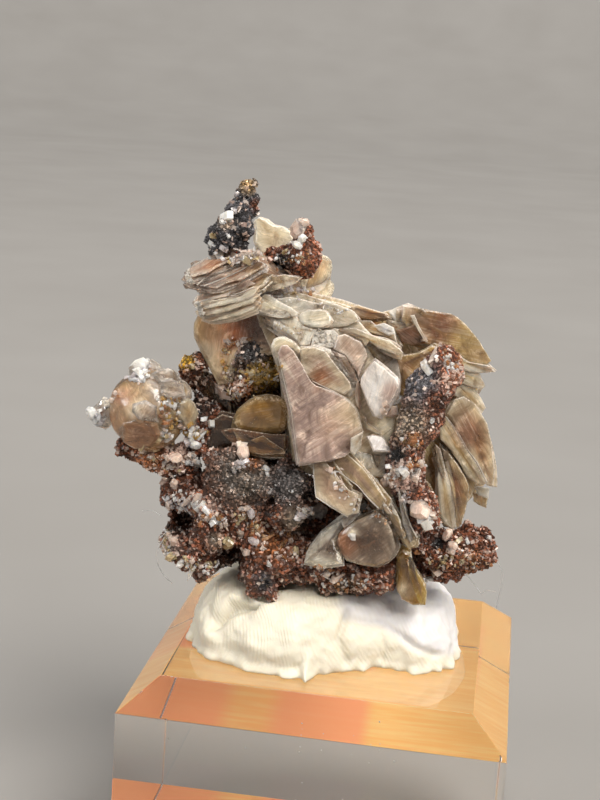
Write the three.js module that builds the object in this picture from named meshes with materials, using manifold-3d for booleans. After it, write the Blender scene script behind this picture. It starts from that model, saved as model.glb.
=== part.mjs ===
// Calcite rosette specimen: lens-shaped calcite blades on a dark iron and manganese oxide
// matrix, stuck with mineral tack on a clear bevelled display block.
// Millimetres, +Z up, the origin at the middle of the block's underside, the viewer at -Y.

import * as THREE from 'three';
import { ConvexGeometry } from 'three/addons/geometries/ConvexGeometry.js';
import { mergeVertices } from 'three/addons/utils/BufferGeometryUtils.js';
import Module from 'manifold-3d';

const wasm = await Module();
wasm.setup();

// Driving dimensions
const block_side = 32;
const block_height = 19;
const block_bevel_in = 3;
const block_bevel_drop = 2.5;
const tack_height = 6.4;
const tack_segments = 16;
// Open space kept between two pieces that touch in the real thing
const gap = 0.3;
// How far a lump of oxide swells and sinks from a plain ellipsoid, as a share of its radius
const lump_relief = 0.13;
// How often an icosahedron's edge is split: 1 gives a lump of 80 flat faces
const lump_detail = 1;

// Where a piece is cut, its corners are kept on this grid so that the result stays clean
const weld = 1e-4;

function solidOf(geometry) {
  const bare = geometry.clone();
  bare.deleteAttribute('normal');
  bare.deleteAttribute('uv');
  const merged = mergeVertices(bare, weld);
  return new wasm.Manifold(new wasm.Mesh({
    numProp: 3,
    vertProperties: new Float32Array(merged.attributes.position.array),
    triVerts: new Uint32Array(merged.index.array),
  }));
}

function geometryOf(solid) {
  const mesh = solid.getMesh();
  const geometry = new THREE.BufferGeometry();
  geometry.setAttribute('position', new THREE.BufferAttribute(new Float32Array(mesh.vertProperties), 3));
  geometry.setIndex(new THREE.BufferAttribute(new Uint32Array(mesh.triVerts), 1));
  geometry.computeVertexNormals();
  return geometry;
}

// A reshaped surface can end up inside out: then its faces are turned round
function outward(geometry) {
  const solid = solidOf(geometry);
  if (solid.volume() > 0) return solid;
  const index = geometry.index.array;
  for (let i = 0; i < index.length; i += 3) {
    [index[i], index[i + 1]] = [index[i + 1], index[i]];
  }
  return solidOf(geometry);
}

function joined(solids) {
  return solids.reduce((whole, piece) => whole.add(piece));
}

// The main body of a cut piece, without chips and without sealed hollows
function largestBody(solid) {
  return solid.decompose().reduce((best, body) => (body.volume() > best.volume() ? body : best));
}

// A flat-faced crystal seen from the front: its corners as [x, z], on the plane through
// `at` that faces `facing`, with `thick` behind the face. The face is a little smaller
// than the back, which gives the bevelled lens edge of this calcite.
function plate({ corners, at, facing, thick, face = 0.84 }, grow = 0) {
  const normal = new THREE.Vector3(...facing).normalize();
  const base = new THREE.Vector3(...at);
  const onPlane = corners.map(([x, z]) => {
    const y = base.y - ((x - base.x) * normal.x + (z - base.z) * normal.z) / normal.y;
    return new THREE.Vector3(x, y, z);
  });
  const middle = onPlane.reduce((sum, p) => sum.add(p), new THREE.Vector3()).divideScalar(onPlane.length);
  const ring = (scale, depth) => onPlane.map((p) => {
    const reach = p.clone().sub(middle);
    const longer = reach.length() * scale + grow;
    return reach.setLength(longer).add(middle).addScaledVector(normal, -depth);
  });
  return solidOf(new ConvexGeometry([
    ...ring(face, -grow),
    ...ring(1, thick + grow),
  ]));
}

// A leaf-shaped blade from its root to its tip, `width` across and `thick` through
const leaf_outline = [[0, 0.32], [0.45, 0.5], [0.93, 0.2]];

function blade({ root, tip, facing, width, thick }, grow = 0) {
  const start = new THREE.Vector3(...root);
  const along = new THREE.Vector3(...tip).sub(start);
  const length = along.length();
  along.normalize();
  const across = new THREE.Vector3(...facing).cross(along).normalize();
  const normal = along.clone().cross(across);
  const rim = [...leaf_outline, ...leaf_outline.map(([u, v]) => [u, -v]).reverse()];
  const ring = (scale, depth) => rim.map(([u, v]) => start.clone()
    .addScaledVector(along, (0.5 + (u - 0.5) * scale) * length + Math.sign(u - 0.5) * grow)
    .addScaledVector(across, v * scale * width + Math.sign(v) * grow)
    .addScaledVector(normal, depth));
  return solidOf(new ConvexGeometry([
    ...ring(0.8, thick / 2 + grow),
    ...ring(1, -thick / 2 - grow),
  ]));
}

// A round lens crystal: a many-sided disc with a thin rim
function lens({ centre, radius, facing, thick, sides = 8 }, grow = 0) {
  const disc = new THREE.CylinderGeometry(0.72 * radius + grow, radius + grow, thick / 2 + grow, sides);
  disc.translate(0, thick / 4 + grow / 2, 0);
  const corners = [];
  const place = new THREE.Quaternion().setFromUnitVectors(
    new THREE.Vector3(0, 1, 0),
    new THREE.Vector3(...facing).normalize(),
  );
  for (let i = 0; i < disc.attributes.position.count; i += 1) {
    const corner = new THREE.Vector3().fromBufferAttribute(disc.attributes.position, i);
    const mirrored = corner.clone().setY(-corner.y);
    corners.push(corner, mirrored);
  }
  corners.forEach((corner) => corner.applyQuaternion(place).add(new THREE.Vector3(...centre)));
  return solidOf(new ConvexGeometry(corners));
}

// A lump of matrix: an ellipsoid with knobs and hollows, [centre, radii]
function lump([centre, radii], grow = 0) {
  const ball = new THREE.IcosahedronGeometry(1, lump_detail);
  const place = ball.attributes.position;
  const [cx, cy, cz] = centre;
  for (let i = 0; i < place.count; i += 1) {
    const d = new THREE.Vector3().fromBufferAttribute(place, i).normalize();
    const knobs = Math.sin(4.1 * d.x + 1.7 * cx) * Math.cos(3.7 * d.y + 2.3 * cz)
      + 0.8 * Math.sin(7.3 * d.z + 1.1 * cy) * Math.cos(6.1 * d.x - cx);
    const swell = 1 + lump_relief * knobs;
    place.setXYZ(
      i,
      cx + d.x * (radii[0] * swell + grow),
      cy + d.y * (radii[1] * swell + grow),
      cz + d.z * (radii[2] * swell + grow),
    );
  }
  return solidOf(ball);
}

// A knobbly limb of matrix: a tube through [x, y, z, radius] stations, closed at both ends
const limb_sides = 8;
const limb_steps_per_station = 1.5;

function limb(stations, grow = 0) {
  const steps = Math.round(stations.length * limb_steps_per_station);
  const route = new THREE.CatmullRomCurve3(stations.map(([x, y, z]) => new THREE.Vector3(x, y, z)));
  const girths = new THREE.SplineCurve(stations.map(([, , , r], i) => new THREE.Vector2(i, r)));
  const tube = new THREE.CylinderGeometry(1, 1, 1, limb_sides, steps);
  const place = tube.attributes.position;
  const side = new THREE.Vector3(0, 1, 0);
  for (let i = 0; i < place.count; i += 1) {
    const share = 0.5 - place.getY(i);
    const out = Math.hypot(place.getX(i), place.getZ(i));
    const turn = Math.atan2(place.getZ(i), place.getX(i));
    const tangent = route.getTangent(share);
    const across = side.clone().cross(tangent).normalize();
    const upright = tangent.clone().cross(across);
    const knobs = Math.sin(9 * share + 2 * turn) + Math.cos(23 * share - 3 * turn);
    const reach = out > 0.5 ? girths.getPoint(share).y * (1 + 0.8 * lump_relief * knobs) + grow : 0;
    const end = share < 0.001 ? -grow : share > 0.999 ? grow : 0;
    const corner = route.getPoint(share)
      .addScaledVector(tangent, end)
      .addScaledVector(across, reach * Math.cos(turn))
      .addScaledVector(upright, reach * Math.sin(turn));
    place.setXYZ(i, corner.x, corner.y, corner.z);
  }
  return outward(tube);
}

// A small rhomb of late calcite that sits on the matrix, [centre, size, turn]
function rhomb([centre, size, turn], grow = 0) {
  const cube = new THREE.BoxGeometry(size + 2 * grow, size * 0.8 + 2 * grow, size * 0.9 + 2 * grow);
  cube.rotateX(turn);
  cube.rotateZ(turn * 1.7);
  cube.translate(...centre);
  return solidOf(cube);
}

// Everything below stands on the block's top face, so heights are measured from there.

// Main rosette, the front blades: each laps over the next one behind it
const centre_blades = [
  { corners: [[-5.8, 28.3], [-4.7, 28.5], [-2, 24.4], [0.4, 21], [0.6, 17.4], [-4, 17.4], [-4.9, 23.7], [-6.2, 27.6]],
    at: [-3, -8, 22], facing: [0.3, -1, 0.22], thick: 2.2 },
  { corners: [[-2.2, 24.5], [0.1, 23.8], [1.2, 22.8], [1.9, 21], [1, 18.5], [-1.6, 17.4], [-3.3, 20.9]],
    at: [-1, -7.8, 21], facing: [0.2, -1, 0.22], thick: 2.2 },
  { corners: [[-4.4, 28], [-2.3, 27.9], [-0.5, 26.5], [1.1, 24.4], [1.1, 22.2], [-1.1, 22.1], [-3.8, 25.5]],
    at: [-2, -6.2, 26], facing: [0.3, -1, 0.25], thick: 1.8 },
  { corners: [[-2.5, 28.5], [-0.6, 28.4], [1.2, 27.8], [2, 26.4], [2, 23.5], [0.5, 23.9], [-1.7, 27]],
    at: [0, -5, 26], facing: [0.3, -1, 0.3], thick: 2.2 },
  { corners: [[2.2, 26.9], [4.2, 25.7], [4.9, 24.4], [3.4, 22.5], [2.4, 23], [1.2, 25.1]],
    at: [3, -7, 24], facing: [0.15, -1, 0.25], thick: 1.8 },
  { corners: [[1.5, 20.9], [3, 20.7], [4.4, 20.5], [4.7, 19.5], [2.8, 19.3], [1.8, 19.8]],
    at: [3, -7, 20], facing: [0.1, -1, 0.4], thick: 1.6 },
  { corners: [[-0.2, 17.4], [1, 19.5], [1.9, 20.8], [2.3, 19], [2.9, 18.4], [1.8, 17.1]],
    at: [1, -7.2, 19], facing: [0, -1, 0.1], thick: 1.8 },
];

// Main rosette, the frosted slabs along its top
const top_slabs = [
  { corners: [[-8, 31.6], [-4.7, 31.8], [-1.3, 31], [0.5, 29.9], [0, 28.8], [-2.5, 29.1], [-6.6, 30.6]],
    at: [-4, -4, 31], facing: [0.1, -0.85, 0.5], thick: 2.4 },
  { corners: [[-8.5, 30.7], [-7.3, 31.4], [-4.3, 30.6], [-4.2, 29.8], [-6.5, 29.7], [-8.1, 30]],
    at: [-6, -4.8, 30.5], facing: [0, -0.9, 0.45], thick: 1.6 },
  { corners: [[-4.5, 29.5], [-4, 30.3], [-2.6, 30.6], [-1.6, 30.2], [-1.9, 29.2], [-3.5, 28.7]],
    at: [-3, -5.5, 30], facing: [0, -0.95, 0.3], thick: 1.6 },
  { corners: [[-2.1, 29.8], [-0.8, 30.4], [0.7, 30], [1.9, 29.5], [1.4, 28.8], [-0.9, 28.8]],
    at: [-0.5, -4.6, 29.8], facing: [0.1, -0.8, 0.5], thick: 1.8 },
  { corners: [[-0.8, 30.8], [0.1, 31], [3, 30.5], [3.5, 29.8], [1.5, 29.7], [-0.2, 30]],
    at: [1.5, -3, 30.6], facing: [0.1, -0.7, 0.7], thick: 2.2 },
  { corners: [[-0.7, 29], [1.1, 29.7], [3.6, 29.3], [4.7, 27.8], [2.9, 27.8], [0.2, 28.3]],
    at: [2, -5.4, 29], facing: [0.15, -0.8, 0.6], thick: 1.8 },
  { corners: [[-5.6, 28.6], [-4.2, 29], [-0.8, 28.8], [-0.3, 28], [-2.2, 27.5], [-4.6, 27.8]],
    at: [-3, -6.4, 28.5], facing: [0.1, -0.9, 0.4], thick: 1.8 },
  { corners: [[-8.2, 30.1], [-6.2, 29.8], [-4.2, 29], [-4.5, 27.6], [-6, 27.9], [-7.7, 28.6]],
    at: [-5.5, -4.4, 29.5], facing: [-0.2, -0.9, 0.35], thick: 2.4 },
  { corners: [[-7.9, 31.8], [-6.7, 33.1], [-4, 33.1], [-4, 32.2], [-5.5, 31.4]],
    at: [-6, -4.2, 32], facing: [0.1, -1, 0.3], thick: 1.2 },
];

// Main rosette, the olive fan of overlapping blades on its right, from the top down
const right_fan = [
  { corners: [[1.7, 28.3], [5.6, 28.6], [8.2, 27.6], [7.5, 26], [5.5, 23.7], [3.9, 23.7], [2.2, 26.6]],
    at: [5, -4.5, 27], facing: [0.25, -1, 0.35], thick: 1.6 },
  { corners: [[2.8, 30], [4.4, 30.9], [6.3, 30.6], [8.3, 30.3], [9.7, 29.1], [9.8, 27.7], [5.6, 28], [3.3, 28.7]],
    at: [6, -2.2, 29.5], facing: [0.3, -0.75, 0.6], thick: 2 },
  { corners: [[6.2, 29.3], [8.9, 29.5], [10.8, 27.7], [12, 26.5], [10.8, 26.1], [7.3, 27], [5.6, 28]],
    at: [9, -1.2, 27.5], facing: [0.35, -0.8, 0.45], thick: 1.6 },
  { corners: [[5.6, 27.7], [9, 27.8], [12.3, 25.6], [10.6, 25.5], [7.4, 26.2]],
    at: [9, -1.6, 26], facing: [0.3, -0.8, 0.5], thick: 1.4 },
  { corners: [[7.3, 27.2], [9.9, 26.5], [11.6, 24.5], [10.4, 24.6], [7.9, 25.4]],
    at: [10, -1.8, 25], facing: [0.3, -0.85, 0.4], thick: 1.5 },
  { corners: [[7.8, 26.4], [10.1, 25.4], [11.6, 23], [10.2, 23], [8, 24]],
    at: [10, -2, 24], facing: [0.3, -0.9, 0.35], thick: 1.6 },
  { corners: [[8.2, 24.8], [10.3, 24], [12, 21.2], [11.8, 19.9], [9.8, 20.6], [7.7, 23.2]],
    at: [10, -1.6, 22], facing: [0.35, -0.9, 0.3], thick: 1.8 },
  { corners: [[7.4, 22.9], [10.1, 23.3], [11.6, 22.1], [12.5, 19.1], [13, 15.5], [11.2, 15.8], [9.1, 18.2], [7.5, 20.8]],
    at: [10, -0.8, 19], facing: [0.35, -1, 0.2], thick: 2.2 },
  { corners: [[7.4, 21], [8.6, 20.6], [10.6, 18.2], [12, 16], [11.1, 15.5], [9.8, 14.6], [8.2, 17.1], [7.2, 19.2]],
    at: [9, -2.2, 17.5], facing: [0.25, -1, 0.1], thick: 1.8 },
  { corners: [[10.8, 16.6], [12.6, 16.4], [12.7, 13.3], [11.7, 13.2]],
    at: [12, 0.2, 14], facing: [0.2, -1, 0.1], thick: 1.6 },
  { corners: [[7.9, 19.4], [8.6, 19.1], [9.9, 15.8], [10.4, 13.5], [10.1, 12.3], [8.9, 13.5], [7.5, 16.3]],
    at: [8.5, -3.4, 15], facing: [0.1, -1, -0.05], thick: 1.5 },
  { corners: [[8.4, 19.5], [9.7, 17.3], [11.2, 14.6], [10.6, 12.4], [9.8, 14.2], [8.7, 17.3]],
    at: [9.3, -2.8, 15], facing: [0.4, -1, 0], thick: 1.8 },
  { corners: [[6.1, 17.7], [7.1, 18.1], [8.8, 14.8], [9.2, 13.1], [8.7, 12.8], [6.9, 15.2]],
    at: [7.5, -3.2, 15], facing: [-0.2, -1, 0], thick: 1.4 },
];

// Main rosette, its far side: petals that stand out from the heart in three rows
const heart = [2, -0.5, 21.5];
// The grown-together mass that every blade of the rosette stands on
const grown_heart = [
  { corners: [[-6.4, 29.5], [0, 29.6], [7, 28], [9.4, 24], [9.4, 18], [5, 15.4], [-1, 16.6], [-3, 22]],
    at: [2, -4.6, 22], facing: [0.1, -1, 0.25], thick: 6 },
];
const far_rows = [
  { rise: -0.4, reach: 8.6, from: 0.1, to: 2.4, count: 4 },
  { rise: 0.15, reach: 9.6, from: 0, to: 2.6, count: 4 },
  { rise: 0.65, reach: 9.2, from: 0.3, to: 2.6, count: 3 },
  { rise: 1.15, reach: 8.6, from: 0.6, to: 2.2, count: 2 },
];

function farPetals() {
  const petals = [];
  for (const { rise, reach, from, to, count } of far_rows) {
    for (let i = 0; i < count; i += 1) {
      const turn = from + ((to - from) * i) / (count - 1);
      const out = new THREE.Vector3(Math.cos(turn) * Math.cos(rise), Math.sin(turn) * Math.cos(rise), Math.sin(rise));
      const length = reach * (1 + 0.1 * Math.sin(5 * i + 9 * rise));
      petals.push({
        root: heart,
        tip: [heart[0] + out.x * length, heart[1] + out.y * length, heart[2] + out.z * length],
        facing: [-out.x * 0.4 + 0.5 * Math.sin(3 * i), 0.3 * Math.cos(4 * i) - out.y * 0.4, 1],
        width: 7.5,
        thick: 1.7,
      });
    }
  }
  return petals;
}

function mainRosette(grow) {
  return joined([
    ...[...grown_heart, ...centre_blades, ...top_slabs, ...right_fan].map((spec) => plate(spec, grow)),
    ...farPetals().map((spec) => blade(spec, grow)),
  ]);
}

// Upper left rosette: thin plates that fan out to the left, tips from the bottom up
const upper_left_root = [-5.8, -2.2, 30.8];
const upper_left_tips = [
  [-14, -3.3, 28.7],
  [-14.5, -3.5, 29.8],
  [-13.7, -3.9, 30.6],
  [-15, -4.3, 31.5],
  [-15.3, -4.3, 32.4],
  [-14.7, -3.9, 33.3],
  [-13.3, -3.3, 34],
  [-11.8, -2.6, 34.3],
];

function upperLeftRosette(grow) {
  const front = upper_left_tips.map((tip, i) => blade({
    root: [upper_left_root[0], upper_left_root[1], upper_left_root[2] + 0.12 * i],
    tip,
    facing: [0.25, -0.35, 1],
    width: 5,
    thick: 1.1,
  }, grow));
  const back = [0, 1, 2].map((i) => blade({
    root: upper_left_root,
    tip: [-12.5 + i, 2 + 0.6 * i, 29.5 + 1.5 * i],
    facing: [0.2, 0.3, 1],
    width: 5,
    thick: 1.4,
  }, grow));
  return joined([...front, ...back]);
}

// The thick smoky brown crystal under the upper left rosette
const smoky_parts = [
  { corners: [[-14.6, 26.8], [-13.6, 28.3], [-10.3, 29.2], [-7.5, 29], [-6.1, 27.9], [-6.5, 26.3], [-9.2, 25.2], [-13.2, 25]],
    at: [-11, -1.2, 26], facing: [-0.1, -1, 0.1], thick: 3.6 },
  { corners: [[-14.6, 26.8], [-10, 27.5], [-9.6, 25.4], [-11.4, 24], [-12.2, 22.3], [-13.4, 24]],
    at: [-11, -0.9, 26], facing: [-0.3, -1, 0.1], thick: 2.8 },
];

// The ball on the left: round lenses through one middle, turned about the upright axis
const ball_middle = [-17, -4, 20.3];
const ball_radius = 3.6;

function ballRosette(grow) {
  const heart_of_ball = lump([ball_middle, [ball_radius, ball_radius, ball_radius]], grow);
  const leaves = [0.5, 1.9].map((turn) => lens({
    centre: ball_middle,
    radius: ball_radius * 1.12,
    facing: [Math.cos(turn), Math.sin(turn), 0.35 * Math.cos(2.3 * turn)],
    thick: 2.2,
  }, grow));
  const caps = [
    lens({ centre: [-18.4, -4, 23.8], radius: 1.1, facing: [0.3, -1, 0.4], thick: 1.2, sides: 6 }, grow),
    lens({ centre: [-21, -4, 19.4], radius: 1.6, facing: [-0.5, -1, 0.3], thick: 1.4, sides: 6 }, grow),
  ];
  return joined([heart_of_ball, ...leaves, ...caps]);
}

// Lens crystals between the ball and the long front blade
const left_lenses = [
  { corners: [[-10.4, 19.7], [-9.3, 21.6], [-7.5, 22.5], [-5, 22.7], [-4.8, 21.5], [-5.2, 19], [-9, 18.6]],
    at: [-7, -5.2, 21], facing: [0, -1, 0.15], thick: 2.6 },
  { corners: [[-10.7, 18.6], [-10.1, 19.6], [-7.7, 19.8], [-4.6, 19.4], [-4.5, 18.3], [-7.7, 17.6]],
    at: [-7, -6, 19], facing: [0, -1, 0.3], thick: 2.8 },
];

// Lower middle: thin blades that lean left out of one root, and the two glassy lenses
const lower_blade_root = [6.4, -5.6, 11];
const lower_blade_tips = [
  [-2.8, -8.6, 19.6],
  [-1, -8.1, 20.5],
  [0.6, -7.9, 19.2],
  [2.3, -7.5, 18.5],
  [3.8, -7, 17.7],
];
const glassy_lenses = [
  { corners: [[-2.3, 9.7], [-2, 11.8], [-0.7, 13.3], [1, 14.3], [1.6, 13.6], [0.9, 11.3], [0, 9.7], [-1.8, 9.3]],
    at: [0, -8.5, 11.5], facing: [0, -1, 0.1], thick: 2.2 },
  { corners: [[0.2, 11.3], [0.7, 12.9], [2.4, 14.2], [3.7, 14.9], [5, 13.3], [5.5, 11.5], [4.5, 10.4], [2.6, 9.8], [0.9, 10]],
    at: [3, -8.8, 11.5], facing: [0.05, -1, 0], thick: 2.6 },
];

function lowerBlades(grow) {
  const blades = lower_blade_tips.map((tip, i) => blade({
    root: [lower_blade_root[0] - 0.2 * i, lower_blade_root[1] + 0.1 * i, lower_blade_root[2]],
    tip,
    facing: [0.75, -0.5, 0.55],
    width: 3.2,
    thick: 0.9,
  }, grow));
  return joined([...blades, ...glassy_lenses.map((spec) => plate(spec, grow))]);
}

// The yellow-brown point that hangs over the tack
const hanging_point = [
  { corners: [[5.4, 11], [6.9, 11.2], [7.6, 9.2], [8.3, 8.6], [8.4, 6.7], [7.4, 6.3], [6.1, 6.8], [5.5, 7.7]],
    at: [6.5, -6.8, 8.5], facing: [0.1, -1, 0], thick: 2.4 },
];

// Pale blades behind the top of the specimen
const back_top_blades = [
  { root: [-6.5, 2, 30.5], tip: [-8.8, 3.4, 37], facing: [0.4, -1, 0.2], width: 4.4, thick: 1.3 },
  { root: [-6, 2, 30.5], tip: [-6.8, 4.2, 36.2], facing: [0, -1, 0.3], width: 4, thick: 1.3 },
  { root: [-6.5, 2.5, 30], tip: [-2.9, 5.4, 31.2], facing: [0.2, -0.6, 1], width: 4, thick: 1.5 },
  { root: [-6.5, 2.5, 30], tip: [-3.4, 5.6, 33.4], facing: [0.4, -1, 0.2], width: 3.6, thick: 1.3 },
];

// The matrix, parted at its main forks: limbs of [x, y, z, radius] stations, and lumps of
// [middle, radii]
const finger_stations = [
  [8.7, -6.6, 28.5, 0.8],
  [8, -6.6, 27.1, 1.7],
  [6.9, -6.8, 24.2, 1.9],
  [5.8, -7, 20.9, 1.8],
  [5.3, -6.8, 18, 1.8],
  [6.3, -6.1, 15, 2],
  [7.2, -5.4, 12.6, 1.6],
];
const stalk_stations = [
  [-11.7, -2.4, 33.7, 1.4],
  [-11.3, -2.5, 35.4, 2],
  [-10.6, -2.5, 37.3, 1.5],
  [-9.9, -2.5, 39.1, 1.2],
  [-9.8, -2.5, 40.5, 0.7],
];
const left_arm_stations = [
  [-9.4, 0, 21.8, 1.7],
  [-12.4, -1.9, 21, 2.1],
  [-13.2, -3.6, 18, 2.2],
  [-15.8, -4, 16.2, 1.7],
  [-19.8, -4, 16.7, 0.9],
];
const right_foot_stations = [
  [5.8, -3.8, 9.5, 2.3],
  [9, -3.6, 9.9, 2.6],
  [12, -3.4, 10.6, 2.3],
  [13.8, -3.4, 11, 1.2],
];
const crown_lumps = [
  [[-5, -0.6, 34], [2, 2.1, 2]],
  [[-5.1, -0.7, 35.9], [1.2, 1.2, 1.4]],
  [[-6.9, -0.4, 33.6], [1.9, 1.8, 1.3]],
];
const spine_lumps = [
  [[-7.7, 2.7, 18.4], [4.7, 4, 7]],
  [[-8, 2.4, 27.4], [4, 3.6, 5.2]],
  [[-8.3, -1.4, 24.6], [2.9, 2.7, 3]],
];
const left_arm_nub = [[[-14, -1.9, 23.7], [1.3, 1.2, 1.7]]];
const base_lumps = [
  [[-11.4, -4.8, 9.7], [4.1, 4, 3.9]],
  [[-13.2, -3.8, 13], [2.5, 2.4, 2.8]],
  [[-8.4, -5.2, 12.8], [3.4, 3, 2.8]],
  [[-9, -6.2, 15.9], [3, 2.6, 3]],
  [[-4.4, -6.2, 14.6], [2.3, 2.4, 3.4]],
  [[-5, -4.6, 8.8], [4.6, 4, 3]],
  [[2, -4.2, 8.7], [4.8, 4, 2.8]],
  [[-5.5, -7.4, 7.6], [1.4, 1.4, 2.1]],
  [[-1.2, 1.6, 10], [9.8, 5, 3.9]],
];
const base_pits = [
  [[-13.6, -8.4, 11.4], [1.5, 1.8, 1.5]],
  [[-10.4, -9, 9], [1.7, 1.7, 1.3]],
  [[-6.3, -8.6, 11.5], [0.8, 1.2, 0.7]],
];
const base_rhombs = [
  [[-8, -8.6, 17.6], 1.2, 0.4],
  [[-12.2, -5.6, 6.2], 1.1, 0.8],
  [[-10.6, -8.2, 12.6], 1.5, 0.5],
  [[-11.6, -6.8, 13.6], 1.5, 1],
];
const spine_rhombs = [
  [[-10.2, -3.4, 22.6], 1.5, 0.4],
];
const finger_rhombs = [
  [[7.2, -7.6, 14.3], 1.9, 0.5],
  [[5, -8.2, 22], 1.2, 0.9],
];
const stalk_rhombs = [
  [[-11.5, -4.3, 36.6], 1, 0.6],
  [[-12.3, -4, 34.3], 1, 0.9],
];
const crown_rhombs = [
  [[-5.1, -2, 35.6], 1, 0.5],
  [[-5.5, -2.4, 34.7], 1, 0.9],
  [[-5.3, -1.6, 37.1], 0.9, 0.3],
];

const matrix = ({ limbs = [], list = [], rhombs = [] }) => (grow) => joined([
  ...limbs.map((stations) => limb(stations, grow)),
  ...list.map((spec) => lump(spec, grow)),
  ...rhombs.map((spec) => rhomb(spec, grow)),
]);

function baseWithPits(grow) {
  const whole = matrix({ list: base_lumps, rhombs: base_rhombs })(grow);
  return base_pits.reduce((solid, pit) => solid.subtract(lump(pit, -grow)), whole);
}

// The tack: two pressed lobes. Each is a turned profile pulled out to its own outline,
// whose corners are [x, y] from the lobe's middle, in order round it from the front.
const front_lobe = {
  middle: [-2.4, -1.2],
  height: tack_height,
  outline: [[1.3, -9.8], [3.4, -7], [7, -5.2], [9, -2.5], [9, 2], [6.5, 6.5], [1.5, 8.6],
    [-4, 8.2], [-8.4, 5.4], [-10.1, 0], [-9.3, -5.6], [-5.3, -8.8], [-1.5, -9.2]],
};
const right_lobe = {
  middle: [5.2, 0.6],
  height: tack_height - 0.9,
  outline: [[0, -6.8], [4.1, -7.2], [5.7, -4.5], [5.7, -0.8], [5.6, 1.8], [3.6, 5.8], [0, 7], [-4, 5.5],
    [-5.5, 0], [-3.5, -5]],
};
// The profile from the middle of the underside round to the top, as [share out, share up]
const tack_profile = [[0, 0], [1, 0], [1.01, 0.14], [0.98, 0.36], [0.91, 0.62], [0.8, 0.84], [0.6, 0.97], [0, 1]];

function outlineReach(outline, turn) {
  const turns = outline.map(([x, y]) => Math.atan2(y, x));
  const reaches = outline.map(([x, y]) => Math.hypot(x, y));
  const full = 2 * Math.PI;
  const after = (a) => ((a - turn) % full + full) % full;
  const before = (a) => ((turn - a) % full + full) % full;
  const next = turns.reduce((best, a, i) => (after(a) < after(turns[best]) ? i : best), 0);
  const last = turns.reduce((best, a, i) => (before(a) < before(turns[best]) ? i : best), 0);
  if (next === last) return reaches[next];
  const share = before(turns[last]) / (before(turns[last]) + after(turns[next]));
  return reaches[last] + (reaches[next] - reaches[last]) * share;
}

function tackLobe({ middle, height, outline }, grow) {
  const points = tack_profile.map(([out, up]) => new THREE.Vector2(out, up));
  const turned = new THREE.LatheGeometry(points, tack_segments);
  const place = turned.attributes.position;
  for (let i = 0; i < place.count; i += 1) {
    const out = Math.hypot(place.getX(i), place.getZ(i));
    const turn = Math.atan2(place.getZ(i), place.getX(i));
    const reach = out * (outlineReach(outline, turn) + grow);
    place.setXYZ(i, middle[0] + reach * Math.cos(turn), middle[1] + reach * Math.sin(turn),
      place.getY(i) * (height + grow));
  }
  return outward(turned);
}

const mineralTack = (grow) => joined([tackLobe(front_lobe, grow), tackLobe(right_lobe, grow)]);

function displayBlock() {
  const half = block_side / 2;
  const top_half = half - block_bevel_in;
  const square = (reach, height) => [[-1, -1], [1, -1], [1, 1], [-1, 1]]
    .map(([x, y]) => new THREE.Vector3(x * reach, y * reach, height));
  return new ConvexGeometry([
    ...square(half, -block_height),
    ...square(half, -block_bevel_drop),
    ...square(top_half, 0),
  ]);
}

const plates = (list) => (grow) => joined(list.map((spec) => plate(spec, grow)));
const blades = (list) => (grow) => joined(list.map((spec) => blade(spec, grow)));

const calcite = (color, roughness) => new THREE.MeshStandardMaterial({ color, roughness, metalness: 0 });
const oxide = (color) => new THREE.MeshStandardMaterial({ color, roughness: 0.8, metalness: 0.15 });

// Each piece gives way to those before it, with the gap between them
const pieces = [
  ['main_rosette', mainRosette, calcite(0xb29c79, 0.35)],
  ['upper_left_rosette', upperLeftRosette, calcite(0xa87d66, 0.4)],
  ['back_top_blades', blades(back_top_blades), calcite(0xd8c9a4, 0.4)],
  ['smoky_crystal', plates(smoky_parts), calcite(0x8a6a52, 0.2)],
  ['ball_rosette', ballRosette, calcite(0xa48d78, 0.25)],
  ['left_lens_crystals', plates(left_lenses), calcite(0x8c7a4c, 0.25)],
  ['lower_blades', lowerBlades, calcite(0x7f6f60, 0.2)],
  ['hanging_point', plates(hanging_point), calcite(0xa8894f, 0.2)],
  ['matrix_right_finger', matrix({ limbs: [finger_stations], rhombs: finger_rhombs }), oxide(0x4e4344)],
  ['matrix_stalk', matrix({ limbs: [stalk_stations], rhombs: stalk_rhombs }), oxide(0x3c3f45)],
  ['matrix_crown', matrix({ list: crown_lumps, rhombs: crown_rhombs }), oxide(0x5c3a2d)],
  ['matrix_spine', matrix({ list: spine_lumps, rhombs: spine_rhombs }), oxide(0x4a3d2c)],
  ['matrix_left_arm', matrix({ limbs: [left_arm_stations], list: left_arm_nub }), oxide(0x6b4a3a)],
  ['matrix_base', baseWithPits, oxide(0x4b3d3a)],
  ['matrix_right_foot', matrix({ limbs: [right_foot_stations] }), oxide(0x5d3a30)],
  ['mineral_tack', mineralTack, new THREE.MeshStandardMaterial({ color: 0xe9e3d3, roughness: 0.7, metalness: 0 })],
];

const specimen = new THREE.Group();
let taken = null;
for (const [name, build, material] of pieces) {
  const whole = build(0);
  const cut = taken ? whole.subtract(taken) : whole;
  const mesh = new THREE.Mesh(geometryOf(largestBody(cut)), material);
  mesh.name = name;
  specimen.add(mesh);
  taken = taken ? taken.add(build(gap)) : build(gap);
}

const block = new THREE.Mesh(
  displayBlock(),
  new THREE.MeshStandardMaterial({ color: 0xf2efe9, roughness: 0.05, metalness: 0, transparent: true, opacity: 0.35 }),
);
block.name = 'acrylic_block';
specimen.add(block);
specimen.position.z = block_height;

const part = new THREE.Group();
part.add(specimen);

export default part;
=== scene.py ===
# Calcite rosette specimen: blades of translucent calcite on drusy iron and manganese oxide,
# pressed into mineral tack on a clear display block.
import math

import bmesh
import bpy
import numpy as np
from mathutils import Matrix, Vector, noise
from mathutils.bvhtree import BVHTree


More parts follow.
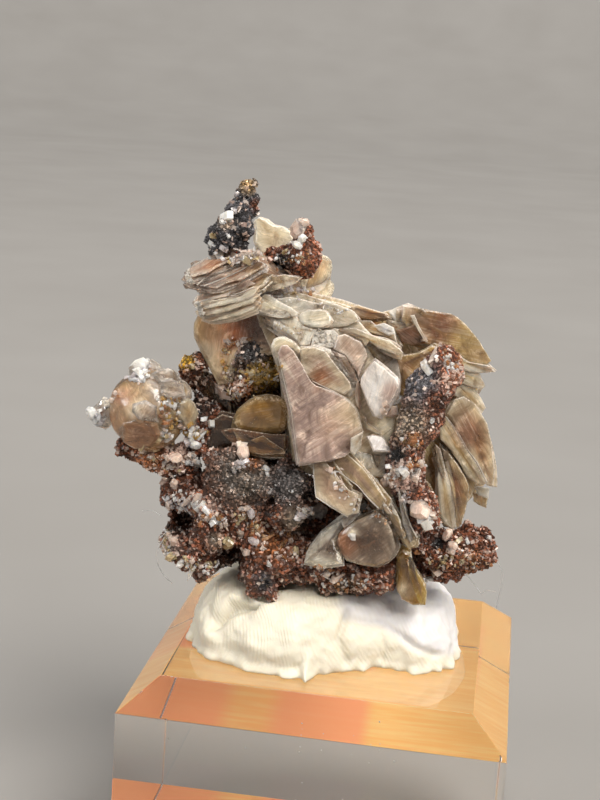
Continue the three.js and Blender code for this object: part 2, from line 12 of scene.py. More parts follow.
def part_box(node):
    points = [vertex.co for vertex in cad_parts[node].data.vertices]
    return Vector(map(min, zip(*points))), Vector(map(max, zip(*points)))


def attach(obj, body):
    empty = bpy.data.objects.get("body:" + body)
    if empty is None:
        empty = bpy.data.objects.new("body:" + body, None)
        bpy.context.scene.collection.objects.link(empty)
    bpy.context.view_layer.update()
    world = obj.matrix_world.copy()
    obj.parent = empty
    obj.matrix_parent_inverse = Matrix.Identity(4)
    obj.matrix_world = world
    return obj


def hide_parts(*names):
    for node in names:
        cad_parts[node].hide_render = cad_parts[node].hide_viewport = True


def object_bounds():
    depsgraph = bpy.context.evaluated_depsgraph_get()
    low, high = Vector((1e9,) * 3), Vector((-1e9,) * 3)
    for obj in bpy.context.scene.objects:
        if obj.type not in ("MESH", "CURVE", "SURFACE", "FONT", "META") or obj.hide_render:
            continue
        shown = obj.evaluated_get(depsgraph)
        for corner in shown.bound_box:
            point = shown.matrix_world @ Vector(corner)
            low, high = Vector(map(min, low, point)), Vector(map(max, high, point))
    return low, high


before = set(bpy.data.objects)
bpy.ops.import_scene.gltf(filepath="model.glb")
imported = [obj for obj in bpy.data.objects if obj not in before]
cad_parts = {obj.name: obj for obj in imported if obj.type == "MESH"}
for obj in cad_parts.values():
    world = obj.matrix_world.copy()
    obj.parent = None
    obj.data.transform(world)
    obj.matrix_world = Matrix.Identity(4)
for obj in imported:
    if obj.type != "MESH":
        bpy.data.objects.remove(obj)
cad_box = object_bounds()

mm = 0.001
body = "root"
block_low, block_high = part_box("acrylic_block")
block_side = block_high.x - block_low.x
block_top = block_high.z
block_edge_round = 0.08 * mm
lowest = cad_box[0].z


# Places and colours

def spot(place):
    """A place given in millimetres above the block's top face, in the frame's metres."""
    return np.asarray(place, float) * mm + np.array([0, 0, block_top])


def above_block(place):
    """A place of the frame, in metres, in millimetres above the block's top face."""
    return np.asarray(place) / mm - np.array([0, 0, block_top / mm])


# The photograph's camera, in millimetres above the block's top face
eye = np.array([12.3, -127.17, 52.14])
view_forward = np.array([-0.128, 0.9641, -0.2326])
view_right = np.array([0.987, 0.1469, 0.0656])
view_down = np.array([0.0974, -0.2212, -0.9703])
focal_pixels = 1506.7
picture_middle = (300, 400)
viewer_way = (0, 1, 0)
upward = (0, 0, 1)


def sight(column, row):
    """The direction from the eye through a place in the 600 by 800 picture."""
    across = (column - picture_middle[0]) / focal_pixels
    down = (row - picture_middle[1]) / focal_pixels
    return view_forward + view_right * across + view_down * down


def seen(column, row, at, facing):
    """Where the line of sight through a place in the picture meets the plane through at."""
    way = sight(column, row)
    facing = np.asarray(facing, float)
    return eye + way * (((np.asarray(at, float) - eye) @ facing) / (way @ facing))


def marks(text):
    """Places in the picture, written as pairs of column and row."""
    return [tuple(int(n) for n in pair.split(",")) for pair in text.split()]


def pictured(places):
    """Where points of the frame, in metres, appear in the picture."""
    away = (places - spot((0, 0, 0))) / mm - eye
    depth = away @ view_forward
    return np.stack([picture_middle[0] + focal_pixels * (away @ view_right) / depth,
                     picture_middle[1] + focal_pixels * (away @ view_down) / depth], 1)


def nearness(places, centre, radius):
    """Distance over radius, in millimetres about a point or in pixels about a place in the picture."""
    if len(centre) == 2:
        return np.linalg.norm(pictured(places) - np.array(centre), axis=1) / radius
    return np.linalg.norm((places - spot(centre)) / mm, axis=1) / radius


def unit(vector):
    vector = np.asarray(vector, float)
    return vector / np.linalg.norm(vector)


def tint(red, green, blue):
    """A colour as the eye names it, from 0 to 255, in the renderer's linear values."""
    shares = np.array([red, green, blue]) / 255
    return np.where(shares < 0.04045, shares / 12.92, ((shares + 0.055) / 1.055) ** 2.4)


frost = tint(248, 235, 212)
ivory = tint(246, 221, 190)
cream = tint(236, 208, 173)
pale_rose = tint(226, 196, 176)
rose = tint(204, 172, 152)
mauve = tint(186, 160, 150)
fawn = tint(200, 166, 134)
tan = tint(212, 176, 126)
rose_brown = tint(196, 142, 108)
olive = tint(200, 162, 104)
umber = tint(164, 122, 76)
bark = tint(122, 82, 50)
ginger = tint(178, 116, 76)
smoke = tint(150, 118, 94)
satin = tint(232, 218, 208)
pearl = tint(224, 222, 226)
honey = tint(184, 140, 66)
lemon = tint(196, 156, 50)
veil = tint(226, 214, 202)
soot = tint(58, 55, 56)
slate = tint(92, 90, 94)
iron = tint(124, 76, 54)
shell_pink = tint(226, 188, 172)
moss = tint(178, 142, 48)
ash = tint(176, 156, 136)


# Meshes

crease_angle = math.radians(24)


class Growth:
    """Crystals grown together as one mesh, with the tone, rim and grain that their finish reads."""

    def __init__(self):
        self.places = []
        self.faces = []
        self.tones = []
        self.rims = []
        self.grains = []
        self.count = 0

    def add(self, places, faces, tones, rims, grains):
        corners = np.array([face[:3] for face in faces])
        a, b, c = (places[corners[:, i]] - places.mean(0) for i in range(3))
        if np.einsum("ij,ij->", a, np.cross(b, c)) < 0:
            faces = [face[::-1] for face in faces]
        self.faces += [tuple(i + self.count for i in face) for face in faces]
        self.places.append(places)
        self.tones.append(tones)
        self.rims.append(rims)
        self.grains.append(grains)
        self.count += len(places)

    def loft(self, first, rings, last, tones, rims, grains):
        """A closed skin from the point first, through rings of points, to the point last."""
        rows, around = rings.shape[:2]
        places = np.vstack([first, rings.reshape(-1, 3), last])
        end = len(places) - 1
        faces = []
        for i in range(around):
            j = (i + 1) % around
            faces.append((0, 1 + i, 1 + j))
            faces.append((end, end - around + j, end - around + i))
            for row in range(rows - 1):
                here, there = 1 + row * around, 1 + (row + 1) * around
                faces.append((here + i, there + i, there + j, here + j))
        self.add(places, faces, tones, rims, grains)

    def skin(self, first, rings, last, tone, rim=0.0, grain=(0, 0, 0)):
        """A closed skin in one tone, from places in millimetres above the block's top."""
        rings = np.array(rings)
        count = 2 + rings.shape[0] * rings.shape[1]
        self.loft(spot(first)[None], spot(rings), spot(last)[None], np.tile(tone, (count, 1)),
                  np.full(count, rim), np.broadcast_to(grain, (count, 3)))

    def piece(self, name, finish, spots=()):
        """The gathered crystals as an object, smooth except over edges past the crease angle."""
        mesh = bpy.data.meshes.new(name)
        places = np.vstack(self.places)
        mesh.from_pydata(places.tolist(), [], self.faces)
        store(mesh, "tone", painted(places, np.vstack(self.tones), spots))
        store(mesh, "rim", np.concatenate(self.rims))
        store(mesh, "grain", np.vstack(self.grains))
        mesh.shade_smooth()
        mesh.set_sharp_from_angle(angle=crease_angle)
        mesh.materials.append(finish)
        return shown(name, mesh)


def milky(colour, milk):
    """A tone with its milkiness: 0 is clear, 1 hides what is behind."""
    return np.append(colour[:3], milk)


def patch(column, row, depth, radius, tone, milk):
    """A round patch for painted: where it is seen, how far along +Y, its radius and its tone."""
    return seen(column, row, (0, depth, 0), viewer_way), radius, milky(tone, milk)


def painted(places, tones, spots):
    """Tones over places, with round patches of others: (centre, radius, tone)."""
    tones = tones.copy() if tones.ndim == 2 else np.tile(tones, (len(places), 1))
    for centre, radius, tone in spots:
        share = np.clip(1.6 - 1.2 * nearness(places, centre, radius), 0, 1)[:, None]
        width = len(tone)
        tones[:, :width] = tones[:, :width] * (1 - share) + tone * share
    if tones.shape[1] == 3:
        tones = np.hstack([tones, np.ones((len(tones), 1))])
    return tones


layer_kinds = {1: ("FLOAT", "value"), 3: ("FLOAT_VECTOR", "vector"), 4: ("FLOAT_COLOR", "color")}


def store(mesh, name, values):
    """Keeps a number, a vector or a colour at each point, by how many values there are for each."""
    values = np.asarray(values, np.float32)
    kind, field = layer_kinds[values.size // len(values)]
    mesh.attributes.new(name, kind, "POINT").data.foreach_set(field, values.ravel())


def shown(name, data):
    piece = bpy.data.objects.new(name, data)
    bpy.context.scene.collection.objects.link(piece)
    return piece


def places_of(mesh, field="co"):
    """The places of a mesh's points, or with the field normal their normals."""
    flat = np.zeros(len(mesh.vertices) * 3)
    mesh.vertices.foreach_get(field, flat)
    return flat.reshape(-1, 3)


def settled(piece):
    """The piece with its modifiers taken into a plain mesh."""
    mesh = bpy.data.meshes.new_from_object(piece.evaluated_get(bpy.context.evaluated_depsgraph_get()))
    piece.modifiers.clear()
    piece.data = mesh
    return piece


def merged_copy(node, name, lumps=()):
    """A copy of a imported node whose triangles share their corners, with lumps: (column, row, radius)."""
    whole = bmesh.new()
    whole.from_mesh(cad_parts[node].data)
    bmesh.ops.remove_doubles(whole, verts=whole.verts, dist=1e-6)
    low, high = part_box(node)
    for column, row, radius in lumps:
        place = spot(seen(column, row, (0, (low.y + high.y) / 2 / mm, 0), viewer_way))
        bmesh.ops.create_icosphere(whole, subdivisions=2, radius=radius * mm,
                                   matrix=Matrix.Translation(place))
    mesh = bpy.data.meshes.new(name)
    whole.to_mesh(mesh)
    whole.free()
    return mesh


def evened(name, node, voxel, rounds, lumps=()):
    """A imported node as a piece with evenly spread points, softened, with their places and normals."""
    piece = shown(name, merged_copy(node, name, lumps))
    remesh = piece.modifiers.new("even", "REMESH")
    remesh.mode = "VOXEL"
    remesh.voxel_size = voxel * mm
    soften = piece.modifiers.new("soften", "SMOOTH")
    soften.iterations = rounds
    settled(piece)
    return piece, places_of(piece.data), places_of(piece.data, "normal")


# Crystals

edge_step = 0.42
lens_edge_step = 0.3
usual_milk = 0.55
seed_stretch = 997
seed_count = 100003
# The side the key light falls from: rims on edges facing it are painted whiter, a painted highlight
light_side = unit((0.8, -0.1, 0.5))


def plate(outline, depth, facing, tone, **more):
    """What sheet needs for one flat crystal, with its corners as places in the picture."""
    return dict(places=marks(outline), depth=depth, facing=facing, tone=tone, **more)


def dice_for(*numbers):
    """Random draws that depend on the crystal's own numbers, so that each keeps its look."""
    return np.random.default_rng(int(abs(sum(numbers)) * seed_stretch) % seed_count)


def walked(corners, step):
    """Points along a closed outline, with every corner kept."""
    points = []
    for a, b in zip(corners, np.roll(corners, -1, 0)):
        parts = max(1, round(np.linalg.norm(b - a) / step))
        points += [a + (b - a) * i / parts for i in range(parts)]
    return np.array(points)


def smooth_draws(dice, around, knots):
    """Draws between 0 and 1 that change slowly round a closed outline."""
    draws = dice.random(knots)
    at = np.arange(around) * knots / around
    low = at.astype(int) % knots
    share = at - at.astype(int)
    share = share * share * (3 - 2 * share)
    return draws[low] * (1 - share) + draws[(low + 1) % knots] * share


def jogs(dice, around, depth):
    """Small steps in and out along a crystal's edge, in millimetres."""
    steps = np.zeros(around)
    i = 0
    while i < around:
        run = dice.integers(2, 6)
        steps[i:i + run] = dice.random() * depth
        i += run
    return steps


def way_in(outline, normal):
    """At each point of a flat outline, the way in, and how far in the middle lies along it."""
    along = np.roll(outline, -1, 0) - np.roll(outline, 1, 0)
    way = np.cross(normal, along)
    way /= np.linalg.norm(way, axis=1)[:, None]
    room = np.einsum("ij,ij->i", outline.mean(0) - outline, way)
    sign = 1 if room.sum() > 0 else -1
    return way * sign, np.maximum(room * sign, 0.1)


def grow(growth, outline, normal, thick, tone, milk, lines, dice, front=0.14, edge=0.1, back=None, jog=0.08,
         frosting=1.0, thin=False, slim=0.75):
    """A flat crystal: its front face lies in the outline's plane, front millimetres inside its
    widest edge, which is edge millimetres behind that face; its back face is back inside.
    """
    middle = outline.mean(0)
    around = len(outline)
    thick = thick * slim
    back = 0.25 + 0.5 * thick if back is None else back
    way, room = way_in(outline, normal)
    lines = unit(lines - normal * (lines @ normal))
    across = np.cross(lines, normal)
    shift = dice.random(3) * 40
    inner, outer = (milky(t, milk) for t in tone)
    # Rims are frostier on edges facing light_side: real frost, with a painted highlight on the lit side
    frosty = np.clip(0.72 - 0.5 * way @ light_side, 0.42, 1) * frosting
    frosty = frosty * (0.6 + 0.4 * smooth_draws(dice, around, 7))
    side = thick - edge
    reach = np.linalg.norm(outline - middle, axis=1).max()
    wave = (smooth_draws(dice, around, 5) - 0.5) * min(0.5, 0.06 * reach)
    # Each ring: inset, share of the outline, depth, frosted rim (painted highlight on lit edges), mix of the
    # outer tone, fresh steps
    rings = [(front + 0.25, 0.4, 0, 0, 0, False), (front + 0.25, 1, 0, 0, 0.7, False),
             (front, 1, 0, 0.2, 0.85, False), (front * 0.35, 1, edge * 0.5, 1, 1, False),
             (0, 1, edge, 0.8, 1, False)]
    if not thin:
        rings += [(back * 0.22, 1, edge + 0.3 * side, 0.3, 0.9, True),
                  (back * 0.5, 1, edge + 0.62 * side, 0.2, 0.8, True)]
    rings += [(back * 0.8, 1, edge + 0.9 * side, 0.4, 0.9, False), (back, 1, thick, 0.1, 0.9, False),
              (back, 0.4, thick, 0, 0, False)]
    rows, rims, tones, grains = [], [], [], []
    layer = jogs(dice, around, jog)
    for inset, share, depth, rim, mix, fresh in rings:
        if fresh:
            layer = jogs(dice, around, jog)
        ring = outline + way * np.minimum(inset + layer, 0.7 * room)[:, None]
        ring = middle + (ring - middle) * share - normal * (depth + wave * share)[:, None]
        rows.append(ring)
        rims.append(rim * frosty)
        tones.append(np.tile(inner * (1 - mix) + outer * mix, (around, 1)))
        grains.append(np.stack([ring @ across, ring @ lines, np.full(around, depth)], 1) + shift)
    ends = [middle - normal * row[2] for row in (rings[0], rings[-1])]
    caps = [np.array([[p @ across, p @ lines, 0]]) + shift for p in ends]
    growth.loft(
        spot(ends[0])[None], spot(np.array(rows)), spot(ends[1])[None],
        np.vstack([inner[None], *tones, inner[None]]), np.concatenate([[0], *rims, [0]]),
        np.vstack([caps[0], *grains, caps[1]]),
    )


def turned(points, middle, axis, angle):
    """Points turned about an axis through the middle."""
    turn = np.array(Matrix.Rotation(angle, 3, Vector(axis)))
    return (points - middle) @ turn.T + middle


def middle_of(places, depth):
    """Where a flat crystal's middle lies: depth millimetres along +Y, behind its outline's middle."""
    way = sight(*np.mean(places, 0))
    return eye + way * ((depth - eye[1]) / way[1])


def sheet(growth, places, depth, facing, thick, tone, milk=usual_milk, comb=35, under=2, **more):
    """A flat crystal whose corners are places in the picture.

    Depth is how far along +Y its middle lies, and comb the slope of its growth lines in the
    picture. Under it lie thinner sheets that grow nearly parallel to it.
    """
    normal = unit(facing)
    column, row = np.mean(places, 0)
    at = middle_of(places, depth)
    outline = walked(np.array([seen(c, r, at, normal) for c, r in places]), edge_step)
    slope = math.radians(comb)
    lines = seen(column + math.cos(slope), row - math.sin(slope), at, normal) - at
    dice = dice_for(column, row, depth)
    grow(growth, outline, normal, thick, tone, milk, lines, dice, **more)
    middle = outline.mean(0)
    for i in range(under):
        lean = unit(normal + 0.05 * (dice.random(3) - 0.5))
        shift = 0.3 * np.cross(normal, dice.random(3) - 0.5)
        below = middle + (outline[::2] - middle) * (1.0 + 0.1 * dice.random()) + shift
        below = turned(below, middle, normal, 0.14 * (dice.random() - 0.5))
        below = below - normal * (0.2 + thick * (0.25 + 0.4 * i))
        shade = 0.88 + 0.24 * dice.random()
        grow(growth, below, lean, 0.4, (tone[0] * shade, tone[1] * shade), milk, lines, dice, thin=True)


strand_turns = np.arange(5) * 2 * math.pi / 5
bead_gap = 2.0
leaf = [(0, 0.3), (0.22, 0.44), (0.5, 0.5), (0.74, 0.4), (0.9, 0.22), (0.97, 0.07)]


def blade(growth, root, tip, facing, width, thick, tone, jog=0.1, frosting=1.0, lean_lines=0.5):
    """A leaf-shaped crystal from its root to its tip."""
    root = np.asarray(root, float)
    along = np.asarray(tip, float) - root
    length = np.linalg.norm(along)
    along = unit(along)
    across = unit(np.cross(facing, along))
    normal = np.cross(along, across)
    dice = dice_for(*root, *tip, width)
    lean = 1 + 0.4 * (dice.random(2) - 0.5)
    rim = [(u, v * lean[0]) for u, v in leaf] + [(u, -v * lean[1]) for u, v in reversed(leaf)]
    outline = np.array([root + along * u * length + across * v * width for u, v in rim])
    outline = outline + normal * thick / 2
    grow(growth, walked(outline, edge_step), normal, thick, tone, usual_milk, along + across * lean_lines,
         dice, front=0.5 * thick, edge=0.45 * thick, back=0.5 * thick, jog=jog, frosting=frosting,
         thin=thick < 0.7, slim=1)


def lens(growth, centre, radius, facing, thick, tone, milk, sides):
    """A round lens crystal with a many-sided rim."""
    normal = unit(facing)
    across = unit(np.cross(normal, (0.3, 0.2, 1)))
    up = np.cross(normal, across)
    dice = dice_for(*centre, radius)
    turns = np.linspace(0, 2 * math.pi, sides, endpoint=False) + dice.random() * 2
    reach = radius * (0.88 + 0.24 * dice.random(sides))
    centre = np.asarray(centre, float) + normal * thick / 2
    outline = np.array([centre + across * r * math.cos(t) + up * r * math.sin(t)
                        for t, r in zip(turns, reach)])
    grow(growth, walked(outline, lens_edge_step), normal, thick, tone, milk, across + 0.3 * up, dice,
         front=0.6 * thick, edge=0.5 * thick, back=0.6 * thick, jog=0.04, slim=1)


def crystal(growth, centre, kind, size, tone, facing, dice):
    """One small crystal: a rhomb, a thick round lens or a spike."""
    facing = unit(facing)
    across = unit(np.cross(facing, dice.random(3) - 0.5))
    up = np.cross(facing, across)
    if kind == "spike":
        sides, levels = 5, [(0.3, -0.45), (0.5, -0.3), (0.4, 0.2), (0.22, 0.8), (0.04, 1.0)]
        out, wide, deep = up, across, facing
    elif kind == "lens":
        sides, levels = 7, [(0.7, -0.22), (1.0, -0.06), (1.0, 0.06), (0.62, 0.26)]
        out, wide, deep = facing, across, up
    else:
        sides, levels = 4, [(0.86, -0.5), (1.0, -0.42), (1.0, 0.42), (0.86, 0.5)]
        out, wide, deep = unit(facing + 0.6 * up), across, up
    turns = 2 * math.pi * np.arange(sides) / sides + dice.random()
    uneven = 0.82 + 0.36 * dice.random(sides)
    lean = 0.5 * (dice.random(2) - 0.5)
    rings = []
    for scale, height in levels:
        middle = centre + size * (out * height + wide * lean[0] * height + deep * lean[1] * height)
        rings.append([middle + size * 0.5 * scale * u * (wide * math.cos(t) + deep * 0.75 * math.sin(t))
                      for t, u in zip(turns, uneven)])
    rings = np.array(rings)
    along = np.linspace(0, 1, 2 + len(levels) * sides)[:, None]
    growth.skin(rings[0].mean(0), rings, rings[-1].mean(0), tone, 0.3, centre + along)


def on_sheet(shape, column, row):
    """Where the line of sight through a place in the picture meets a sheet's plane."""
    return seen(column, row, middle_of(shape["places"], shape["depth"]), unit(shape["facing"]))


def strand(growth, points, radius):
    """A thin tube along points, in millimetres above the block's top."""
    points = np.array(points)
    rings = []
    for i, point in enumerate(points):
        way = unit(points[min(i + 1, len(points) - 1)] - points[max(i - 1, 0)])
        across = unit(np.cross(way, viewer_way))
        up = np.cross(way, across)
        rings.append([point + radius * (across * math.cos(t) + up * math.sin(t)) for t in strand_turns])
    growth.skin(points[0], rings, points[-1], milky(frost, 1))


def bright_edge(growth, shape, line, radius=0.05):
    """A fine white edge along places in the picture, in the plane of a sheet: partly frost, partly a painted
    highlight where the edge catches the light.
    """
    strand(growth, [on_sheet(shape, c, r) for c, r in marks(line)], radius)


def beaded(growth, line, shape, tone, size=0.2, rows=3, spread=2.6):
    """A frosted edge: tiny crystals in rows along a line of places in the picture, on a sheet."""
    places = np.array(marks(line), float)
    dice = dice_for(*places.ravel(), shape["depth"])
    for a, b in zip(places, places[1:]):
        count = max(1, round(np.linalg.norm(b - a) / bead_gap))
        for i in range(count):
            for _ in range(rows):
                column, row = a + (b - a) * (i + dice.random()) / count + spread * (dice.random(2) - 0.5)
                centre = on_sheet(shape, column, row)
                crystal(growth, centre, "rhomb", size * (0.6 + 0.8 * dice.random()), tone,
                        (0.3, -1, 0.3) + 0.8 * (dice.random(3) - 0.5), dice)


# Finishes

class Sock:
    """A node's output, with which an expression on values adds its Math nodes."""

    def __init__(self, works, socket):
        self.works = works
        self.socket = socket

    def maths(self, operation, first, second=0.0):
        return self.works.node("ShaderNodeMath", {"operation": operation}, {0: first, 1: second})

    def __add__(self, other):
        return self.maths("ADD", self, other)

    def __sub__(self, other):
        return self.maths("SUBTRACT", self, other)

    def __rsub__(self, other):
        return self.maths("SUBTRACT", other, self)

    def __mul__(self, other):
        return self.maths("MULTIPLY", self, other)

    def __truediv__(self, other):
        return self.maths("DIVIDE", self, other)

    def __pow__(self, other):
        return self.maths("POWER", self, other)

    __radd__ = __add__
    __rmul__ = __mul__

    def held(self, low=0.0, high=1.0):
        """The value kept between low and high."""
        return self.maths("MINIMUM", self.maths("MAXIMUM", self, low), high)

    def ramp(self, low, high):
        """0 below low, 1 above high, and smooth between them."""
        return self.works.node(
            "ShaderNodeMapRange", {"interpolation_type": "SMOOTHSTEP", "clamp": True},
            {"Value": self, "From Min": low, "From Max": high},
        )


class Works:
    """A tree of nodes under construction."""

    def node(self, kind, settings=None, sockets=None, out=0):
        made = self.tree.nodes.new(kind)
        for key, value in (settings or {}).items():
            setattr(made, key, value)
        for key, value in (sockets or {}).items():
            for each in value if isinstance(value, list) else [value]:
                if isinstance(each, Sock):
                    self.tree.links.new(each.socket, made.inputs[key])
                else:
                    made.inputs[key].default_value = each
        return Sock(self, made.outputs[out])

    def scaled(self, vector, scale):
        return self.node("ShaderNodeVectorMath", {"operation": "SCALE"}, {0: vector, "Scale": scale})

    def mixed(self, share, first, second, blend="MIX"):
        def shade(colour):
            return colour if isinstance(colour, Sock) else (*colour, 1.0)
        return self.node(
            "ShaderNodeMix", {"data_type": "RGBA", "blend_type": blend},
            {0: share, 6: shade(first), 7: shade(second)}, out=2,
        )


class Finish(Works):
    """A material under construction."""

    def __init__(self, name):
        self.material = bpy.data.materials.new(name)
        self.material.use_nodes = True
        self.tree = self.material.node_tree
        self.tree.nodes.clear()

    def attribute(self, name, out):
        return self.node("ShaderNodeAttribute", {"attribute_name": name}, out=out)

    def place(self):
        """Object coordinates in millimetres."""
        return self.scaled(self.node("ShaderNodeTexCoord", out="Object"), 1 / mm)

    def stretched(self, vector, scale):
        return self.node("ShaderNodeVectorMath", {"operation": "MULTIPLY"}, {0: vector, 1: scale})

    def noise(self, vector, scale, detail=3.0, rough=0.55, warp=0.0):
        return self.node("ShaderNodeTexNoise", {}, {
            "Vector": vector, "Scale": scale, "Detail": detail, "Roughness": rough, "Distortion": warp,
        })

    def grey(self, value):
        return self.node("ShaderNodeCombineColor", {}, {0: value, 1: value, 2: value})

    def bump(self, height, distance, strength):
        return self.node("ShaderNodeBump", {},
                         {"Height": height, "Distance": distance, "Strength": strength})

    def skin(self, sockets):
        return self.node("ShaderNodeBsdfPrincipled", {}, sockets)

    def soaked(self, colour, density):
        """What light loses on its way through."""
        return self.node("ShaderNodeVolumeAbsorption", {}, {"Color": (*colour, 1), "Density": density})

    def surface(self, shader, inside=None):
        end = self.tree.nodes.new("ShaderNodeOutputMaterial")
        self.tree.links.new(shader.socket, end.inputs["Surface"])
        if inside is not None:
            self.tree.links.new(inside.socket, end.inputs["Volume"])
        return self.material


calcite_ior = 1.6
acrylic_ior = 1.49
calcite_density = 90.0
acrylic_density = 6.0


def calcite(name, pale=frost, depth_colour=(0.9, 0.76, 0.54), rough=0.1, lines_share=0.65, spacing=0.17,
            soak=1.5):
    """Translucent calcite: frosted at its rims, with a painted highlight on rims facing the light, milky in
    veils, clear between, with growth lines.
    """
    f = Finish(name)
    place = f.place()
    tone = f.attribute("tone", "Color")
    milk = f.attribute("tone", "Alpha")
    rim = f.attribute("rim", "Fac")
    grain = f.attribute("grain", "Vector")
    combs = f.noise(f.stretched(grain, (1 / spacing, 0.3, 0.5)), 1.0, 2.0, 0.6, 0.15)
    wide_combs = f.noise(f.stretched(grain, (1.3, 0.4, 0.5)), 1.0, 4.0, 0.62, 0.4)
    cloud = f.noise(place, 0.55, 6.0, 0.66, 0.8)
    fine = f.noise(place, 5.0, 4.0, 0.7)
    drift = f.stretched(f.node("ShaderNodeTexNoise", {}, {"Vector": place, "Scale": 0.9, "Detail": 2.0}, 1),
                        (0.4, 0.4, 0.4))
    bent = f.node("ShaderNodeVectorMath", {"operation": "ADD"},
                  {0: f.stretched(grain, (1.5, 0.35, 0.8)), 1: drift})
    cleft = f.node("ShaderNodeTexVoronoi", {"feature": "DISTANCE_TO_EDGE"}, {"Vector": bent, "Scale": 1.0})
    clefts = cleft.ramp(0.03, 0.006) * cloud.ramp(0.46, 0.6)
    beads = f.node("ShaderNodeTexVoronoi", {}, {"Vector": place, "Scale": 4.5})
    terraces = f.node("ShaderNodeMath", {"operation": "FLOOR"}, {0: wide_combs * 12}) / 12
    lines = combs.ramp(0.46, 0.62) * cloud.ramp(0.36, 0.52)
    gaps = (1 - combs.ramp(0.36, 0.5)) * wide_combs.ramp(0.4, 0.56)
    crumbs = fine.ramp(0.48, 0.62)
    edge = (rim.ramp(0.12, 0.85) * (0.3 + 0.7 * crumbs)).held()
    veils = wide_combs.ramp(0.5, 0.7) * cloud.ramp(0.46, 0.62)
    shade = f.mixed(1.0, tone, f.grey(0.72 + 0.7 * cloud), "MULTIPLY")
    shade = f.mixed((cloud.ramp(0.45, 0.3) * 0.3).held(), shade, (0.32, 0.18, 0.08))
    shade = f.mixed((gaps * lines_share * 0.6).held(), shade, (0.3, 0.2, 0.13))
    bright = 0.25 + 0.75 * f.node("ShaderNodeRGBToBW", {}, {0: tone}).ramp(0.03, 0.3)
    shade = f.mixed((lines * lines_share * 0.5 * bright).held(), shade, pale)
    whitened = edge * 0.75 + (veils * 0.35 + clefts * 0.15) * bright + crumbs * rim * 0.2
    shade = f.mixed(whitened.held(), shade, pale)
    height = combs * lines_share * 0.8 + terraces * 1.8 + (1 - beads) * rim * 0.9 + fine * 0.3
    bump = f.bump(height, 0.05 * mm, 0.7)
    rough_now = (rough + 0.4 * edge + 0.1 * lines + 0.15 * veils).held(0.03, 0.9)
    glass = f.skin({
        "Base Color": f.mixed(0.6, (1.0, 0.96, 0.9), shade), "Roughness": rough_now, "Normal": bump,
        "IOR": calcite_ior, "Transmission Weight": 1.0,
    })
    cloudy = f.skin({
        "Base Color": shade, "Roughness": (rough_now + 0.12).held(0.08, 0.9), "Normal": bump,
        "IOR": calcite_ior, "Subsurface Weight": 0.8, "Subsurface Scale": soak * mm,
        "Subsurface Radius": (1.0, 0.92, 0.8),
    })
    share = (milk * 0.8 + edge * 0.5 + veils * 0.35 + clefts * 0.2 + (cloud - 0.5) * 1.3).held(0.02, 0.97)
    both = f.node("ShaderNodeMixShader", {}, {0: share, 1: glass, 2: cloudy})
    return f.surface(both, f.soaked(depth_colour, calcite_density))


def oxide():
    """Iron and manganese oxide under a skin of tiny glittering crystals."""
    f = Finish("drusy_oxide")
    place = f.place()
    tone = f.attribute("tone", "Color")
    patches = f.noise(place, 0.8, 4.0, 0.65, 0.3)
    fine = f.noise(place, 9.0, 3.0, 0.7)
    return f.surface(f.skin({
        "Base Color": f.mixed(1.0, tone, f.grey(0.5 + patches), "MULTIPLY"),
        "Roughness": (0.4 - 0.3 * fine.ramp(0.4, 0.65)).held(0.08, 0.9),
        "Normal": f.bump(fine, 0.04 * mm, 0.6), "Metallic": 0.1, "Specular IOR Level": 0.7,
    }))


def acrylic():
    """Polished clear acrylic with a few fine scuffs."""
    f = Finish("clear_acrylic")
    scuffs = f.noise(f.stretched(f.place(), (0.6, 3.0, 1.4)), 1.6, 6.0, 0.7, 0.6).ramp(0.6, 0.8)
    return f.surface(f.skin({
        "Base Color": f.mixed(scuffs * 0.06, (0.99, 0.985, 0.975), (0.9, 0.9, 0.9)),
        "Roughness": 0.005 + 0.03 * scuffs, "IOR": acrylic_ior, "Transmission Weight": 1.0,
    }), f.soaked((0.93, 0.9, 0.84), acrylic_density))


def putty():
    """Ivory mineral tack, ridged by fingertips and whiter on its right lobe."""
    f = Finish("mineral_tack")
    place = f.place()
    tone = f.attribute("tone", "Color")
    ridges = f.node(
        "ShaderNodeTexWave", {"wave_type": "BANDS", "bands_direction": "X", "wave_profile": "SIN"},
        {"Vector": f.attribute("grain", "Vector"), "Scale": 1.0, "Distortion": 5.0, "Detail": 2.0,
         "Detail Scale": 0.35}, out="Fac",
    )
    cloud = f.noise(place, 0.7, 4.0, 0.6)
    fine = f.noise(place, 12.0, 3.0, 0.6)
    pressed = f.attribute("rim", "Fac") * cloud.ramp(0.36, 0.6)
    shade = f.mixed(1.0, tone, f.grey(0.93 + 0.12 * cloud), "MULTIPLY")
    # The troughs between the fingertip ridges are mixed towards a darker tan: painted shade
    return f.surface(f.skin({
        "Base Color": f.mixed((1 - ridges) * pressed * 0.13, shade, tint(196, 180, 142)),
        "Roughness": (0.5 + 0.2 * cloud).held(),
        "Normal": f.bump(ridges * pressed * 0.6 + 0.3 * fine + 0.9 * cloud, 0.06 * mm, 0.7),
        "Subsurface Weight": 0.25, "Subsurface Scale": 0.6 * mm, "Subsurface Radius": (1, 0.8, 0.5),
    }))


def film():
    """The faint film of an adhesive dot on the block's top."""
    f = Finish("adhesive_film")
    cloud = f.noise(f.place(), 0.8, 3.0)
    return f.surface(f.skin({
        "Base Color": f.mixed(cloud, (0.92, 0.84, 0.7), (0.84, 0.74, 0.58)), "Roughness": 0.25 + 0.2 * cloud,
        "Alpha": 0.02 + 0.08 * cloud,
    }))


